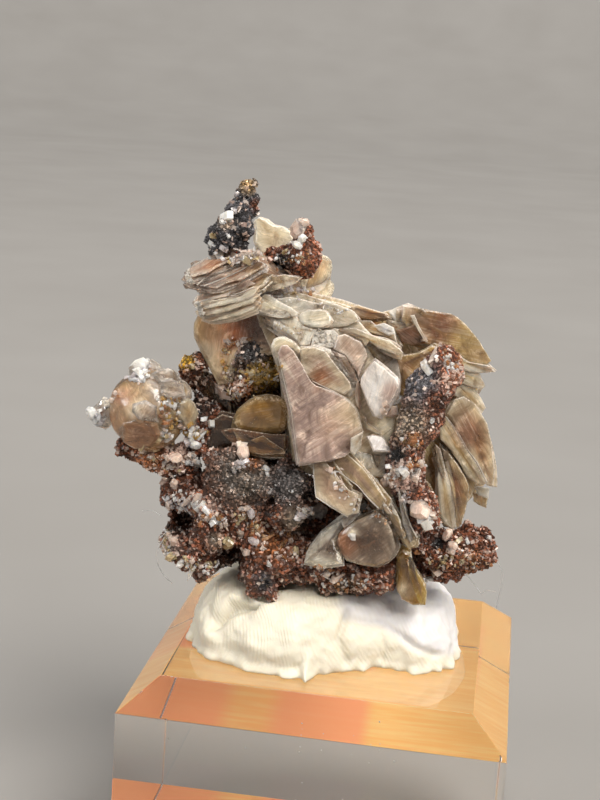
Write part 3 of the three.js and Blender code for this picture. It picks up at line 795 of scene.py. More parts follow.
def lint():
    f = Finish("lint_fibre")
    cloud = f.noise(f.place(), 2.0, 2.0)
    return f.surface(f.skin({
        "Base Color": f.mixed(cloud, (0.8, 0.8, 0.8), (0.6, 0.6, 0.6)), "Roughness": 0.4,
        "Transmission Weight": 0.5,
    }))


def studio_paper():
    f = Finish("studio_paper")
    cloud = f.noise(f.place(), 0.02, 2.0)
    return f.surface(f.skin({
        "Base Color": f.mixed(cloud * 0.08, (0.25, 0.24, 0.228), (0.9, 0.9, 0.9)), "Roughness": 0.8,
        "Specular IOR Level": 0.2,
    }))


def reflection_card():
    """The card under the block: golden, with a salmon patch towards its back; its colours are a painted
    reflection of the table and the hand seen in the clear block.
    """
    f = Finish("warm_card")
    place = f.place()
    away = f.node("ShaderNodeSeparateXYZ", {}, {0: place}, out=1)
    aside = f.node("ShaderNodeSeparateXYZ", {}, {0: place})
    cloud = f.noise(place, 0.1, 2.0)
    salmon_notch = aside.ramp(-11.5, -9) * aside.ramp(-4.5, -7)
    # The salmon patch, notched where the left bevel shows it, stands in for the hand: painted reflection
    salmon = away.ramp(7.2, 8.6) * aside.ramp(4.0, 2.4) * (1 - salmon_notch * 0.7) * (0.7 + 0.3 * cloud)
    wood = f.noise(f.stretched(place, (0.12, 1.3, 1)), 1.0, 4.0, 0.6)
    golden = f.mixed(wood.ramp(0.35, 0.7), tint(250, 190, 112), tint(255, 208, 134))
    colour = f.mixed(salmon, golden, tint(255, 164, 118))
    # The card glows faintly by its own emission: painted light
    return f.surface(f.skin({
        "Base Color": colour, "Roughness": 0.8, "Emission Color": colour, "Emission Strength": 0.1,
    }))


finishes = {
    "olive": calcite("calcite_olive", tint(252, 231, 208), (0.92, 0.73, 0.52)),
    "grain": calcite("calcite_grains", lines_share=0.1, soak=0.4),
    "pink": calcite("calcite_pink", ivory, (0.86, 0.6, 0.44), lines_share=0.45, spacing=0.16),
    "cream": calcite("calcite_cream", frost, (0.86, 0.76, 0.56), lines_share=0.2),
    "smoky": calcite("calcite_smoky", frost, (0.7, 0.52, 0.38), 0.07, 0.3),
    "veiled": calcite("calcite_veiled", frost, (0.74, 0.55, 0.38), 0.04, 0.2),
    "yellow": calcite("calcite_yellow", frost, (0.76, 0.6, 0.28), 0.06, 0.2),
    "oxide": oxide(),
    "acrylic": acrylic(),
    "tack": putty(),
    "film": film(),
    "lint": lint(),
}


# Calcite of the main rosette

front_way = (0.3, -1, 0.22)
top_way = (-0.15, -0.85, 0.5)
fan_way = (0.45, -0.95, 0.15)
low_fan_way = (0.35, -1, 0.15)
backing = [
    plate("250,300 290,292 340,302 398,322 412,350 400,420 388,472 330,470 292,462 282,380 262,330", -3.6,
        (0.1, -1, 0.3), (tan, cream), thick=5.5, milk=0.8, comb=60),
    plate("284,350 300,340 335,328 366,336 398,352 402,380 398,410 392,440 385,478 350,478 305,460 "
        "290,400", -6.2, (0.1, -1, 0.25), (cream, ivory), thick=2.4, milk=0.85, comb=40),
    plate("258,300 290,296 340,306 352,314 372,334 398,350 350,348 300,344 270,324", -4.6, (0, -1, 0.4),
        (cream, ivory), thick=2.0, milk=0.85, comb=10),
    plate("316,452 340,446 372,452 392,470 404,500 410,530 396,530 360,500 330,486", -6.8,
        (-0.1, -1, 0.2), (fawn, rose), thick=2.0, milk=0.7, comb=-50),
    plate("420,400 446,396 470,420 484,470 470,500 452,524 430,500 420,460", -1.6, (0.35, -1, 0.15),
        (olive, tan), thick=1.6, milk=0.7, comb=-60),
    plate("392,316 420,309 458,326 482,356 477,400 486,440 488,478 464,500 440,500 410,460 396,380", 0.2,
        (0.4, -1, 0.2), (olive, tan), thick=3.2, milk=0.7, comb=-40),
    plate("400,380 440,350 470,370 478,400 484,440 462,470 440,470 410,430", -0.8, (0.4, -1, 0.2),
        (olive, cream), thick=0.9, milk=0.6, comb=-45, under=2),
    plate("396,318 430,312 456,322 478,344 484,358 450,356 420,346", -1.4, fan_way, (olive, tan),
        thick=0.8, milk=0.6, comb=-20),
]
front_blades = [
    plate("271,346 274,339 279,336 286,336 295,341 304,351 313,367 320,384 318,400 300,410 283,386 "
        "277,368", -7.4, front_way, (tan, ivory), thick=1.4, milk=0.6, front=0.25, edge=0.2, under=0),
    plate("277,353 281,345 287,344 294,351 303,365 312,381 317,385 333,391 346,398 356,408 361,420 364,432 "
        "358,447 345,457 325,462 298,465 295,440 291,410 285,385", -8.0, front_way, (mauve, mauve * 1.1),
        thick=2.4, milk=0.66, comb=32, front=0.1, edge=0.06),
    plate("303,346 315,344 331,349 345,365 358,382 359,391 350,398 338,392 319,384 306,362", -6.6,
        front_way, (cream, ivory), thick=1.2, milk=0.6, comb=30, front=0.25, edge=0.2, under=0),
    plate("300,349 304,347 314,346 326,350 338,366 350,382 352,389 345,395 332,391 316,384 300,372", -7.1,
        front_way, (rose, cream), thick=1.2, milk=0.65, comb=28),
    plate("331,350 345,355 354,367 359,382 352,382 340,366", -6.2, (0.35, -1, 0.3), (umber, rose),
        thick=0.9, comb=20),
    plate("337,335 345,333 354,338 361,341 366,349 368,356 363,366 359,377 354,368 345,355 333,349", -5.9,
        (0.2, -1, 0.35), (rose * 1.2, pale_rose * 1.1), thick=1.6, milk=0.7, comb=48),
    plate("357,381 361,379 361,398 360,411 356,405 355,392", -6.6, (0.3, -1, 0.1), (ginger, rose),
        thick=1.0, comb=85, under=0),
    plate("374,360 385,368 396,378 399,385 394,397 388,407 381,416 375,418 369,408 364,397 360,384 361,377 "
        "367,368", -7.3, (-0.15, -1, 0.3), (tint(240, 228, 220), satin), thick=1.3, milk=0.9, comb=75,
        front=0.12, edge=0.08),
    plate("360,414 366,420 375,427 383,434 376,435 366,429", -7.0, (0.1, -1, 0.3), (tan, cream),
        thick=0.8, comb=-40, under=0),
    plate("366,436 373,434 383,436 393,449 391,452 373,452", -7.4, (0.25, -0.95, 0.6),
        (tint(186, 174, 170), tint(200, 188, 182)), thick=1.0, milk=0.9, comb=60, under=0),
    plate("351,438 364,431 362,447 355,456 350,452", -8.2, (0.4, -1, 0.1), (ivory, frost), thick=0.6,
        milk=0.7, comb=70, under=0),
    plate("345,456 358,450 372,454 375,468 362,471 350,463", -7.6, (0.1, -1, 0.4), (cream, frost),
        thick=0.8, milk=0.35, comb=60, under=0),
    plate("371,453 391,453 394,466 386,475 375,468", -7.0, (0.2, -1, 0.2), (olive, cream), thick=0.9,
        milk=0.3, comb=70, under=0),
]
top_slabs = [
    plate("263,290 275,287 304,293 330,301 348,307 355,311 359,320 345,326 320,328 298,325 280,316 "
        "262,304", -4.0, top_way, (cream * 1.12, ivory * 1.05), thick=1.8, milk=0.65, comb=-20),
    plate("252,306 264,293 270,294 281,302 291,307 298,312 296,316 282,318 268,316 257,311", -5.0,
        top_way, (cream * 1.15, frost), thick=1.2, milk=0.7, comb=-25),
    plate("298,316 301,312 308,309 319,308 326,309 330,314 332,319 330,324 322,328 312,328 302,325 "
        "298,321", -5.25, (-0.15, -0.9, 0.35), (ivory, frost), thick=1.2, milk=0.8, comb=10, front=0.16,
        edge=0.12),
    plate("262,314 283,318 297,316 304,325 318,329 313,336 310,345 300,346 294,339 286,333 274,326", -5.5,
        (0, -0.85, 0.5), (ivory, frost), thick=2.2, milk=0.85, comb=75),
    plate("314,331 326,329 334,329 339,334 337,341 340,347 326,348 311,346 312,338", -5.7,
        (0.12, -0.85, 0.5), (tint(255, 228, 202) * 1.1, frost * 1.05), thick=1.3, milk=0.95, comb=20,
        frosting=1.6),
    plate("337,331 344,327 354,327 369,333 380,337 390,339 400,348 404,353 398,355 388,352 378,348 369,341 "
        "365,346 361,340 348,334", -5.6, (-0.1, -0.9, 0.4), (tan, cream), thick=1.0, milk=0.6, comb=-25),
    plate("350,306 358,304 368,307 385,312 390,318 372,320 357,318", -3.3, (-0.1, -0.9, 0.3),
        (bark * 1.2, umber), thick=1.2, milk=0.7, comb=-20),
    plate("341,326 358,320 371,320 376,324 391,326 396,335 397,341 381,335 367,331 354,328", -4.4,
        (-0.1, -0.8, 0.55), (tan, cream), thick=1.1, milk=0.5, comb=-20),
    plate("373,325 384,322 394,327 396,334 388,336 378,331", -4.8, (-0.15, -0.9, 0.4), (pearl, frost),
        thick=0.6, milk=0.6, comb=30, under=0),
    plate("262,289 272,275 284,274 303,277 296,284 280,289 270,291", -4.2, (0.1, -1, 0.3), (olive, cream),
        thick=0.7, milk=0.3, comb=25, under=1),
]
fan_blades = [
    plate("388,312 396,306 408,302 416,306 424,311 418,318 406,322 394,321", -2.8, (-0.1, -0.8, 0.5),
        (satin, frost), thick=1.8, milk=0.9, comb=-15),
    plate("386,318 396,320 407,322 416,326 405,329 396,331 392,338 387,328", -3.4, (-0.15, -0.9, 0.4),
        (umber, cream), thick=1.0, milk=0.5, comb=-15),
    plate("404,306 414,305 425,310 432,310 451,313 457,316 467,325 479,339 488,352 493,361 487,366 470,362 "
        "452,353 440,348 426,345 410,334 402,318", -2.2, fan_way, (umber * 1.2, tan * 1.05), thick=0.9,
        milk=0.6, comb=-12),
    plate("396,330 415,325 428,343 413,347 401,343", -4.0, (0.25, -1, 0.05), (ginger * 0.3, bark * 0.5),
        thick=1.4, milk=0.9, comb=-40, under=0, frosting=0.2),
    plate("410,315 415,314 421,327 429,341 426,343 419,332", -4.1, (0.3, -0.9, 0.35), (cream, ivory),
        thick=0.7, milk=0.7, comb=-62, under=0),
    plate("366,346 373,342 382,350 392,353 404,355 420,352 432,345 442,348 432,362 420,374 408,392 398,402 "
        "399,385 396,377 385,367 374,359", -5.0, (0.15, -1, 0.25), (umber * 1.1, olive), thick=1.2,
        milk=0.7, comb=-38),
    plate("430,344 455,353 471,362 489,365 497,372 480,374 468,372 448,366", -1.9, fan_way,
        (tan * 1.1, ivory), thick=0.7, milk=0.65, comb=-20),
    plate("448,362 470,371 480,373 486,386 483,389 475,389 462,384 450,374", -1.5, fan_way,
        (tan * 1.1, ivory), thick=0.7, milk=0.65, comb=-30),
    plate("450,372 462,382 476,389 482,398 487,408 482,415 470,408 455,396", -1.2, fan_way, (tan, ivory),
        thick=0.7, milk=0.65, comb=-45),
    plate("447,414 455,399 464,396 476,404 481,412 488,424 493,448 496,471 495,488 487,486 478,472 468,450 "
        "457,430", -1.9, (0.35, -1, 0.2), (umber * 1.3, cream), thick=1.2, milk=0.6, comb=-62),
    plate("441,418 446,416 457,431 467,449 477,462 488,484 480,486 468,478 460,465 450,450 441,440 "
        "438,425", -2.6, low_fan_way, (olive * 1.15, cream), thick=0.9, milk=0.6, comb=-55),
    plate("436,444 441,449 446,468 447,480 442,478 436,462", -3.4, low_fan_way, (tan, cream), thick=0.6,
        milk=0.5, comb=-75, under=0),
    plate("442,447 450,453 458,463 466,476 470,486 469,498 466,512 462,525 457,529 453,512 449,480 "
        "445,465", -2.9, low_fan_way, (tint(142, 92, 50), tan), thick=0.9, milk=0.5, comb=-72),
    plate("436,451 441,458 448,472 453,487 456,507 457,528 452,531 445,524 440,515 438,498 437,478", -3.4,
        low_fan_way, (tan, ivory), thick=0.8, milk=0.65, comb=-80),
    plate("421,474 431,484 439,500 441,520 434,509 427,494", -3.9, low_fan_way, (ginger, tan), thick=0.6,
        milk=0.45, comb=-60, under=0),
    plate("420,493 430,504 440,517 440,530 431,517", -4.2, low_fan_way, (tan, cream), thick=0.5, milk=0.5,
        comb=-50, under=0),
    plate("473,484 490,488 489,499 478,496", -1.0, (0.2, -1, 0.3), (ivory, frost), thick=1.6, milk=0.8,
        comb=-10, under=0),
    plate("473,492 489,498 487,509 479,506 473,502", -0.8, (0.2, -1, 0), (honey * 1.2, tan), thick=1.4,
        milk=0.4, comb=-80, under=0),
]
heart = np.array([2, -0.5, 21.5])
# Rows of blades on the far side: rise, reach, first turn, last turn and count
far_rows = [
    (-0.4, 8.6, 0.7, 2.4, 4),
    (0.15, 9.6, 0.5, 2.6, 4),
    (0.65, 9.2, 0.5, 2.6, 3),
    (1.15, 8.6, 0.6, 2.2, 2),
]


def main_rosette():
    growth = Growth()
    for shape in [*backing, *front_blades, *top_slabs, *fan_blades]:
        sheet(growth, **shape)
    edge_tone = milky(ivory, 0.6)
    beaded(growth, "290,348 298,355 307,369 318,384", front_blades[0], edge_tone)
    beaded(growth, "331,354 341,367 350,379 355,386", front_blades[2], edge_tone, size=0.22)
    beaded(growth, "314,334 325,337 334,342", top_slabs[4], milky(frost, 0.9), size=0.18, rows=7,
        spread=13)
    beaded(growth, "266,312 280,311 294,315", top_slabs[1], edge_tone, size=0.2, rows=1, spread=5)
    bright_edge(growth, front_blades[1], "312,381 333,391 346,398 356,408 361,420", 0.04)
    bright_edge(growth, front_blades[1], "278,356 285,385 291,410 295,440 298,464", 0.035)
    bright_edge(growth, fan_blades[10], "446,417 457,431 467,449 477,462 487,482", 0.06)
    for rise, reach, first, last, count in far_rows:
        for i in range(count):
            turn = first + (last - first) * i / (count - 1)
            level = math.cos(rise)
            out = np.array([math.cos(turn) * level, math.sin(turn) * level, math.sin(rise)])
            length = reach * (1 + 0.1 * math.sin(5 * i + 9 * rise))
            facing = (-out[0] * 0.4 + 0.5 * math.sin(3 * i), 0.3 * math.cos(4 * i) - out[1] * 0.4, 1)
            blade(growth, heart, heart + out * length, facing, 7.5, 1.3, (olive, tan), frosting=0.6)
    return growth.piece("rosette_blades", finishes["olive"], spots=[
        patch(320, 377, -7.1, 1.0, ginger, 0.6),
        patch(350, 420, -8.0, 1.7, cream, 0.75),
        patch(330, 432, -8.0, 1.2, rose, 0.7),
        # A small frost-white spot on the front blade: a painted glint
        patch(285, 366, -8.8, 0.6, frost, 0.9),
        # A darker mauve spot on the right side of the pale blade: painted shade
        patch(392, 393, -7.3, 1.0, mauve * 0.9, 0.85),
        # A frost-white spot that lifts a shaded part of the top slab: painted light
        patch(290, 299, -4.4, 1.5, frost, 0.75),
        patch(340, 312, -4.4, 1.9, ivory * 0.85, 0.75),
        patch(264, 324, -5, 0.9, umber, 0.5),
        patch(440, 324, -2.4, 1.8, ginger * 0.6, 0.5),
        patch(424, 318, -2.4, 1.0, umber, 0.5),
        patch(486, 352, -2, 1.0, tan, 0.6),
        patch(464, 344, -2, 1.5, tint(214, 176, 112), 0.6),
        patch(405, 307, -2.8, 0.9, pale_rose * 1.15, 0.85),
        patch(466, 432, -1.9, 1.4, rose_brown * 0.7, 0.5),
    ])


# The other calcite

upper_left_root = (-5.8, -2.2, 30.8)
upper_left_tips = [(-14, -3.3, 28.7), (-14.5, -3.5, 29.8), (-13.7, -3.9, 30.6), (-15, -4.3, 31.5),
                   (-15.3, -4.3, 32.4), (-14.7, -3.9, 33.3), (-13.3, -3.3, 34), (-11.8, -2.6, 34.3)]
plate_way = (-0.1, -0.75, 0.8)
low_plate_way = (-0.1, -1, 0.45)
upper_left_sheets = [
    plate("184,275 190,267 206,258 229,254 248,255 231,263 208,274 190,280", -4.9, plate_way,
        (rose_brown, pale_rose), comb=32, edges=["186,272 194,265 208,258"]),
    plate("196,286 206,277 224,272 247,260 264,259 269,264 240,281 217,289", -5.0, plate_way,
        (rose_brown * 0.85, pale_rose), comb=33, edges=["197,285 206,277 224,271 246,261", "204,286 "
        "222,279 240,271 252,263"]),
    plate("226,298 233,288 250,273 264,269 276,274 264,287 242,297", -4.9, plate_way,
        (rose_brown * 0.8, tan), comb=36, edges=["228,294 238,284 250,274"]),
    plate("193,302 197,295 210,289 232,287 258,281 246,292 216,300 200,304", -5.5, low_plate_way,
        (tint(255, 216, 178), pale_rose * 1.25), thick=0.7, comb=25, milk=0.9, edges=["194,301 198,295 "
        "210,290 230,288"]),
    plate("194,307 200,301 220,296 240,293 262,284 252,298 226,307 202,311", -5.8, low_plate_way,
        (tint(255, 224, 190), cream * 1.2), thick=0.8, comb=27, milk=0.9, edges=["195,306 201,301 220,297 "
        "240,293 254,287"]),
    plate("197,312 204,306 222,303 244,299 262,292 254,304 230,312 206,317", -5.8, low_plate_way,
        (tint(255, 220, 184), cream * 1.2), thick=0.8, comb=24, milk=0.9, edges=["198,311 206,306 224,303 "
        "244,299"]),
    plate("200,318 208,313 226,309 246,305 262,299 254,310 234,318 212,322", -5.6, low_plate_way,
        (tint(250, 208, 168), cream * 1.2), thick=0.8, comb=22, milk=0.85, edges=["201,317 210,313 228,309 "
        "246,305"]),
]


def upper_left_rosette():
    growth = Growth()
    dice = np.random.default_rng(5)
    for i, tip in enumerate(upper_left_tips):
        root = np.array(upper_left_root) + (0, 0, 0.12 * i)
        for _ in range(4):
            stray = (1.6 * dice.random() ** 2, 2.4 * (dice.random() - 0.3), 0.7 * (dice.random() - 0.5))
            facing = (0.25 + 0.5 * (dice.random() - 0.5), -0.5 + 0.5 * (dice.random() - 0.5), 1)
            shade = 0.7 + 0.45 * dice.random()
            blade(growth, root, np.array(tip) + stray, facing, 1.8 + 1.6 * dice.random(),
                  0.3 + 0.35 * dice.random(), (rose_brown * shade, pale_rose), jog=0.25, frosting=0.9,
                  lean_lines=0)
    for shape in upper_left_sheets:
        own = dict(thick=0.42, milk=0.5, jog=0.3, under=3, frosting=1.1)
        own.update(shape)
        edges = own.pop("edges")
        sheet(growth, **own)
        for line in edges:
            bright_edge(growth, own, line, 0.06)
    for i in range(4):
        blade(growth, upper_left_root, (-12.5 + i, 2 + 0.6 * i, 29.3 + 1.4 * i), (0.2, 0.3, 1), 5, 1.2,
              (rose_brown, pale_rose))
    frosty = milky(frost, 0.9)
    beaded(growth, "188,271 188,279 193,283", upper_left_sheets[0], frosty, size=0.34, rows=3, spread=1.8)
    beaded(growth, "198,302 199,308 202,315", upper_left_sheets[4], frosty, size=0.34, rows=3, spread=1.8)
    beaded(growth, "232,262 246,257 256,254", upper_left_sheets[0], milky(pale_rose, 0.85), size=0.35,
        rows=2, spread=5)
    return growth.piece("upper_left_plates", finishes["pink"], spots=[
        patch(238, 284, -5, 0.9, ginger * 0.6, 0.5),
        patch(214, 262, -5, 1.0, ginger, 0.5),
        patch(256, 268, -5, 1.0, umber, 0.5),
    ])


def back_blades():
    growth = Growth()
    for root, tip, facing, width, thick in [
        ((-6, 2, 30.5), (-6.8, 4.2, 36.2), (0, -1, 0.3), 4, 1.3),
        ((-6.5, 2.5, 30), (-2.9, 5.4, 31.2), (0.2, -0.6, 1), 4, 1.5),
        ((-6.5, 2.5, 30), (-3.4, 5.6, 33.4), (0.4, -1, 0.2), 3.6, 1.3),
    ]:
        blade(growth, root, tip, facing, width, thick, (tan, cream))
    sheet(growth, marks("253,219 259,215 267,217 273,222 283,225 291,230 295,238 290,247 276,254 262,254 "
        "252,244"), 2.6, (0.1, -1, 0.3), 1.3, (cream, ivory), milk=0.8, comb=-16, under=3, jog=0.3)
    return growth.piece("pale_back_blades", finishes["cream"])


usual_thickness = 0.8
smoky_sheets = [
    plate("192,323 198,310 218,303 245,303 268,310 283,328 283,352 262,358 238,362 230,384 216,386 208,372 "
        "197,350 192,338", -2.9, (-0.15, -1, 0.15), (tint(255, 208, 164), cream), thick=4.0, milk=0.8,
        comb=80, front=0.5, edge=0.5, under=1),
    plate("200,372 212,380 226,384 230,400 232,424 214,430 204,420 200,396", -2.2, (-0.2, -1, 0.1),
        (bark * 0.5, bark * 0.7), thick=2.0, milk=0.4, comb=80, under=1),
]
# Round patches: column, row, depth, radius, tone and milk
smoky_spots = [
    (237, 333, -2.6, 1.5, tint(206, 124, 74), 0.65), (264, 328, -2.9, 1.9, tint(112, 80, 70), 0.5),
    (246, 316, -2.9, 1.0, tint(140, 96, 70), 0.5), (203, 328, -2.6, 1.5, tan, 0.6),
    (204, 352, -2.4, 0.9, ivory, 0.7),
]
ball_middle = (-17, -4, 20.3)
ball_radius = 3.6
ball_points = 420
golden_turn = 2.39996


def ball_body():
    """The glassy ball, smooth and a little uneven: brown and amber below, pale above."""
    dice = np.random.default_rng(11)
    body_of_ball = bmesh.new()
    for i in range(ball_points):
        height = 1 - 2 * (i + 0.5) / ball_points
        turn = i * golden_turn
        level = math.sqrt(1 - height * height)
        way = np.array([level * math.cos(turn), level * math.sin(turn), height])
        swell = 0.97 + 0.07 * noise.noise(Vector(way * 1.7)) + 0.01 * dice.random()
        body_of_ball.verts.new(spot(np.array(ball_middle) + way * ball_radius * swell))
    bmesh.ops.convex_hull(body_of_ball, input=body_of_ball.verts)
    bmesh.ops.recalc_face_normals(body_of_ball, faces=body_of_ball.faces)
    mesh = bpy.data.meshes.new("ball_body")
    body_of_ball.to_mesh(mesh)
    body_of_ball.free()
    places = places_of(mesh)
    store(mesh, "tone", painted(places, milky(tan, 0.3), [
        ((112, 425), 16, milky(tint(214, 160, 104), 0.5)),
        ((142, 435), 15, milky(bark, 0.45)),
        ((165, 388), 20, milky(veil * 0.9, 0.35)),
        ((122, 398), 11, milky(tint(206, 160, 132), 0.55)),
        ((134, 410), 7, milky(frost, 0.7)),
        ((190, 410), 12, milky(tan, 0.4)),
    ]))
    store(mesh, "rim", np.full(len(places), 0.1))
    local = places / mm
    store(mesh, "grain", np.stack([local[:, 0] + local[:, 2], local[:, 2], local[:, 1]], 1))
    mesh.shade_smooth()
    mesh.materials.append(finishes["veiled"])
    return shown("ball_body", mesh)


ball_sheets = [
    plate("121,424 134,421 157,425 161,436 152,447 134,451 122,443", -7.5, (0, -1, -0.35),
        (tint(146, 98, 60), tint(176, 130, 92)), milk=0.5, comb=-10, frosting=0.3),
    plate("132,404 145,400 157,406 158,423 138,420 131,412", -7.7, (0.1, -1, 0.15), (ash, veil), milk=0.3,
        comb=62, frosting=0.4),
    plate("150,373 160,367 169,367 177,371 182,380 172,388 158,383", -5.7, (0.2, -1, 0.6), (ash, veil),
        milk=0.3, comb=20, frosting=0.9),
    plate("160,380 172,377 184,384 186,396 172,400 160,394", -6.5, (0.35, -1, 0.3), (ash, veil),
        milk=0.25, comb=40, frosting=0.6),
    plate("178,377 187,381 193,389 193,398 185,402 178,392", -5.2, (0.7, -1, 0.4), (tan, veil), milk=0.4,
        comb=65),
    plate("177,402 189,397 196,403 200,414 197,426 186,430 178,418", -5.6, (0.6, -1, 0.05), (tan, cream),
        milk=0.5, comb=70),
]


def ball_growths():
    """The facets on the ball and the white veils inside it."""
    growth = Growth()
    hub = np.array(ball_middle) + (1.2, -0.6, 0.4)
    for i in range(6):
        turn = 0.35 * i - 0.5
        facing = (math.sin(turn), 0.35 * math.sin(2.1 * i), math.cos(turn))
        way = np.array([math.cos(turn), -0.25, -math.sin(turn)])
        lens(growth, hub + way * 1.2, 1.3, facing, 0.1, (frost, veil), milk=0.4, sides=11)
    for shape in ball_sheets:
        sheet(growth, thick=0.7, under=0, front=0.25, edge=0.2, **{"frosting": 0.7, **shape})
    lens(growth, (-21, -4, 19.4), 1.5, (-0.5, -1, 0.3), 1.4, (ginger, veil), milk=0.45, sides=6)
    lens(growth, (-17.6, -3.2, 23.4), 1.4, (0.1, -0.8, 1), 0.9, (pale_rose, veil), milk=0.5, sides=8)
    return growth.piece("ball_growths", finishes["veiled"])


left_sheets = [
    plate("232,424 236,410 245,402 256,396 268,395 282,398 288,406 287,424 282,433 258,434 238,431", -5.6,
        (0, -1, 0.2), (umber * 0.9, olive), thick=2.4, milk=0.5, comb=10, front=0.5, edge=0.45),
    plate("220,431 232,427 250,430 270,433 286,433 286,450 262,452 240,448 228,440", -6.3, (0, -1, 0.35),
        (bark * 0.5, bark), thick=2.2, milk=0.5, comb=-8),
    plate("233,430 246,441 263,435 284,449 286,454 262,455 241,450", -6.8, (0, -1, 0.6),
        (bark * 0.6, umber), thick=1.2, milk=0.45, comb=8),
    # A dark plate behind the lenses fills the gap: partly the dark olive blades, partly painted shade
    plate("204,424 222,414 244,420 246,452 226,462 206,456", -4.6, (-0.1, -1, 0.1),
        (bark * 0.35, bark * 0.5), thick=1.6, milk=0.6, comb=-30),
]
left_spots = [(263, 404, -5.8, 1.4, tint(178, 132, 44), 0.6)]
lower_sheets = [
    plate("313,456 319,452 326,462 334,472 349,489 359,494 353,513 347,517 334,508 316,497 314,480", -8.9,
        (-0.1, -1, 0.35), (tint(206, 170, 142), cream), comb=-56, milk=0.7, front=0.06, edge=0.05,
        edges=["313,457 314,478 316,497", "316,497 331,507 348,517"]),
    plate("326,462 332,458 346,476 354,486 351,492 340,488 332,478", -8.3, (-0.2, -1, 0.3), (umber, tan),
        comb=-52),
    plate("333,445 337,444 348,454 362,467 372,480 385,499 380,509 369,499 358,486 343,475 334,468", -8.6,
        (-0.3, -1, 0.3), (tint(190, 156, 130), tan), comb=-46, milk=0.6, front=0.06, edge=0.05,
        edges=["333,446 333,457 334,468 343,475 358,486 369,499 379,509", "337,445 348,455 361,467"]),
    plate("352,474 358,470 370,482 382,498 392,514 386,514 374,496 360,484", -9.0, (-0.3, -1, 0.3),
        (umber, cream), thick=0.5, comb=-50, milk=0.6, front=0.04, edge=0.04, under=0, edges=["352,478 "
        "361,482 373,495 381,504"]),
    plate("347,456 356,458 372,478 382,494 392,514 384,510 370,492 354,472", -8.0, (-0.4, -1, 0.3),
        (umber, cream), comb=-55),
    plate("358,460 368,464 378,480 390,498 400,520 404,540 394,526 378,504 366,484", -7.7,
        (-0.4, -1, 0.2), (smoke * 0.8, tan), comb=-58),
    plate("376,490 387,494 398,511 412,528 417,536 416,545 410,549 400,540 391,524 383,508", -8.3,
        (-0.2, -1, 0.15), (ash * 0.8, tan), comb=-55, milk=0.4, front=0.08, edge=0.06, edges=["388,495 "
        "399,512 412,528 417,538", "384,498 391,512 401,530"]),
    # A thin frost-white sheet on the blade: a painted glint
    plate("384,494 388,495 394,506 398,517 393,514 387,504", -8.75, (0.4, -1, 0.5), (frost, frost),
        thick=0.3, comb=-55, milk=0.8, front=0.03, edge=0.03, under=0),
    plate("397,494 400,490 404,502 411,522 416,538 410,543 402,524", -8.5, (0.2, -1, 0.15),
        (ash * 0.85, veil), comb=-72, milk=0.35, front=0.06, edge=0.05, edges=["399,491 400,500 407,516 "
        "413,531"]),
    plate("372,470 380,470 390,484 396,494 390,498 380,486", -7.4, (-0.2, -1, 0.3), (umber, tan),
        comb=-55),
    plate("340,520 346,512 356,508 362,512 354,522 344,530", -8.5, (0.1, -1, 0.4), (ash, veil), comb=30),
    # A near-black sheet where a dark hole between the blades shows: painted shadow
    plate("349,498 357,494 366,499 372,508 364,514 354,513", -7.7, (0, -1, 0.1),
        (bark * 0.06, bark * 0.1), comb=30, milk=0.95, frosting=0.05, under=0),
    plate("303,563 305,553 309,546 321,532 334,523 347,513 351,519 343,528 337,540 341,552 342,564 "
        "322,567", -8.8, (-0.05, -1, 0.3), (veil * 0.9, frost), thick=1.8, milk=0.5, comb=45, front=0.4,
        edge=0.3, frosting=1.2),
    plate("335,547 338,534 348,525 360,519 377,511 385,518 392,531 396,548 390,561 376,568 362,567 "
        "346,562", -9.1, (0.05, -1, 0), (smoke * 0.75, ash), thick=2.4, milk=0.45, comb=38, front=0.3,
        edge=0.25, frosting=0.5),
]
lower_spots = [
    (345, 546, -9.2, 1.1, ginger * 0.75, 0.6), (343, 534, -9.2, 0.7, ginger * 0.8, 0.6),
    (331, 549, -8.8, 0.8, smoke * 0.6, 0.4), (352, 532, -9.2, 0.35, frost, 0.9),
]
point_sheets = [
    plate("396,556 403,549 412,553 414,568 421,576 427,585 427,599 425,606 413,606 402,600 397,590 "
        "398,572", -6.8, (0.1, -1, 0), (tan * 0.85, honey), thick=2.2, milk=0.45, comb=80, front=0.3,
        edge=0.25, under=1),
    plate("409,556 414,566 424,581 428,592 426,606 419,604 413,588 409,572", -7.5, (0.5, -1, 0),
        (umber, lemon), thick=1.0, milk=0.4, comb=70, under=0),
]
point_spots = [(422, 599, -6.8, 0.9, lemon, 0.5), (406, 590, -6.8, 0.8, cream, 0.7)]


def sheet_piece(name, finish, shapes, spots):
    """A piece of flat crystals only, with their bright edges and round patches of tone."""
    growth = Growth()
    for shape in shapes:
        own = {"thick": usual_thickness, **shape}
        edges = own.pop("edges", [])
        sheet(growth, **own)
        for line in edges:
            bright_edge(growth, shape, line)
    return growth.piece(name, finishes[finish], [patch(*spot_here) for spot_here in spots])


# Matrix

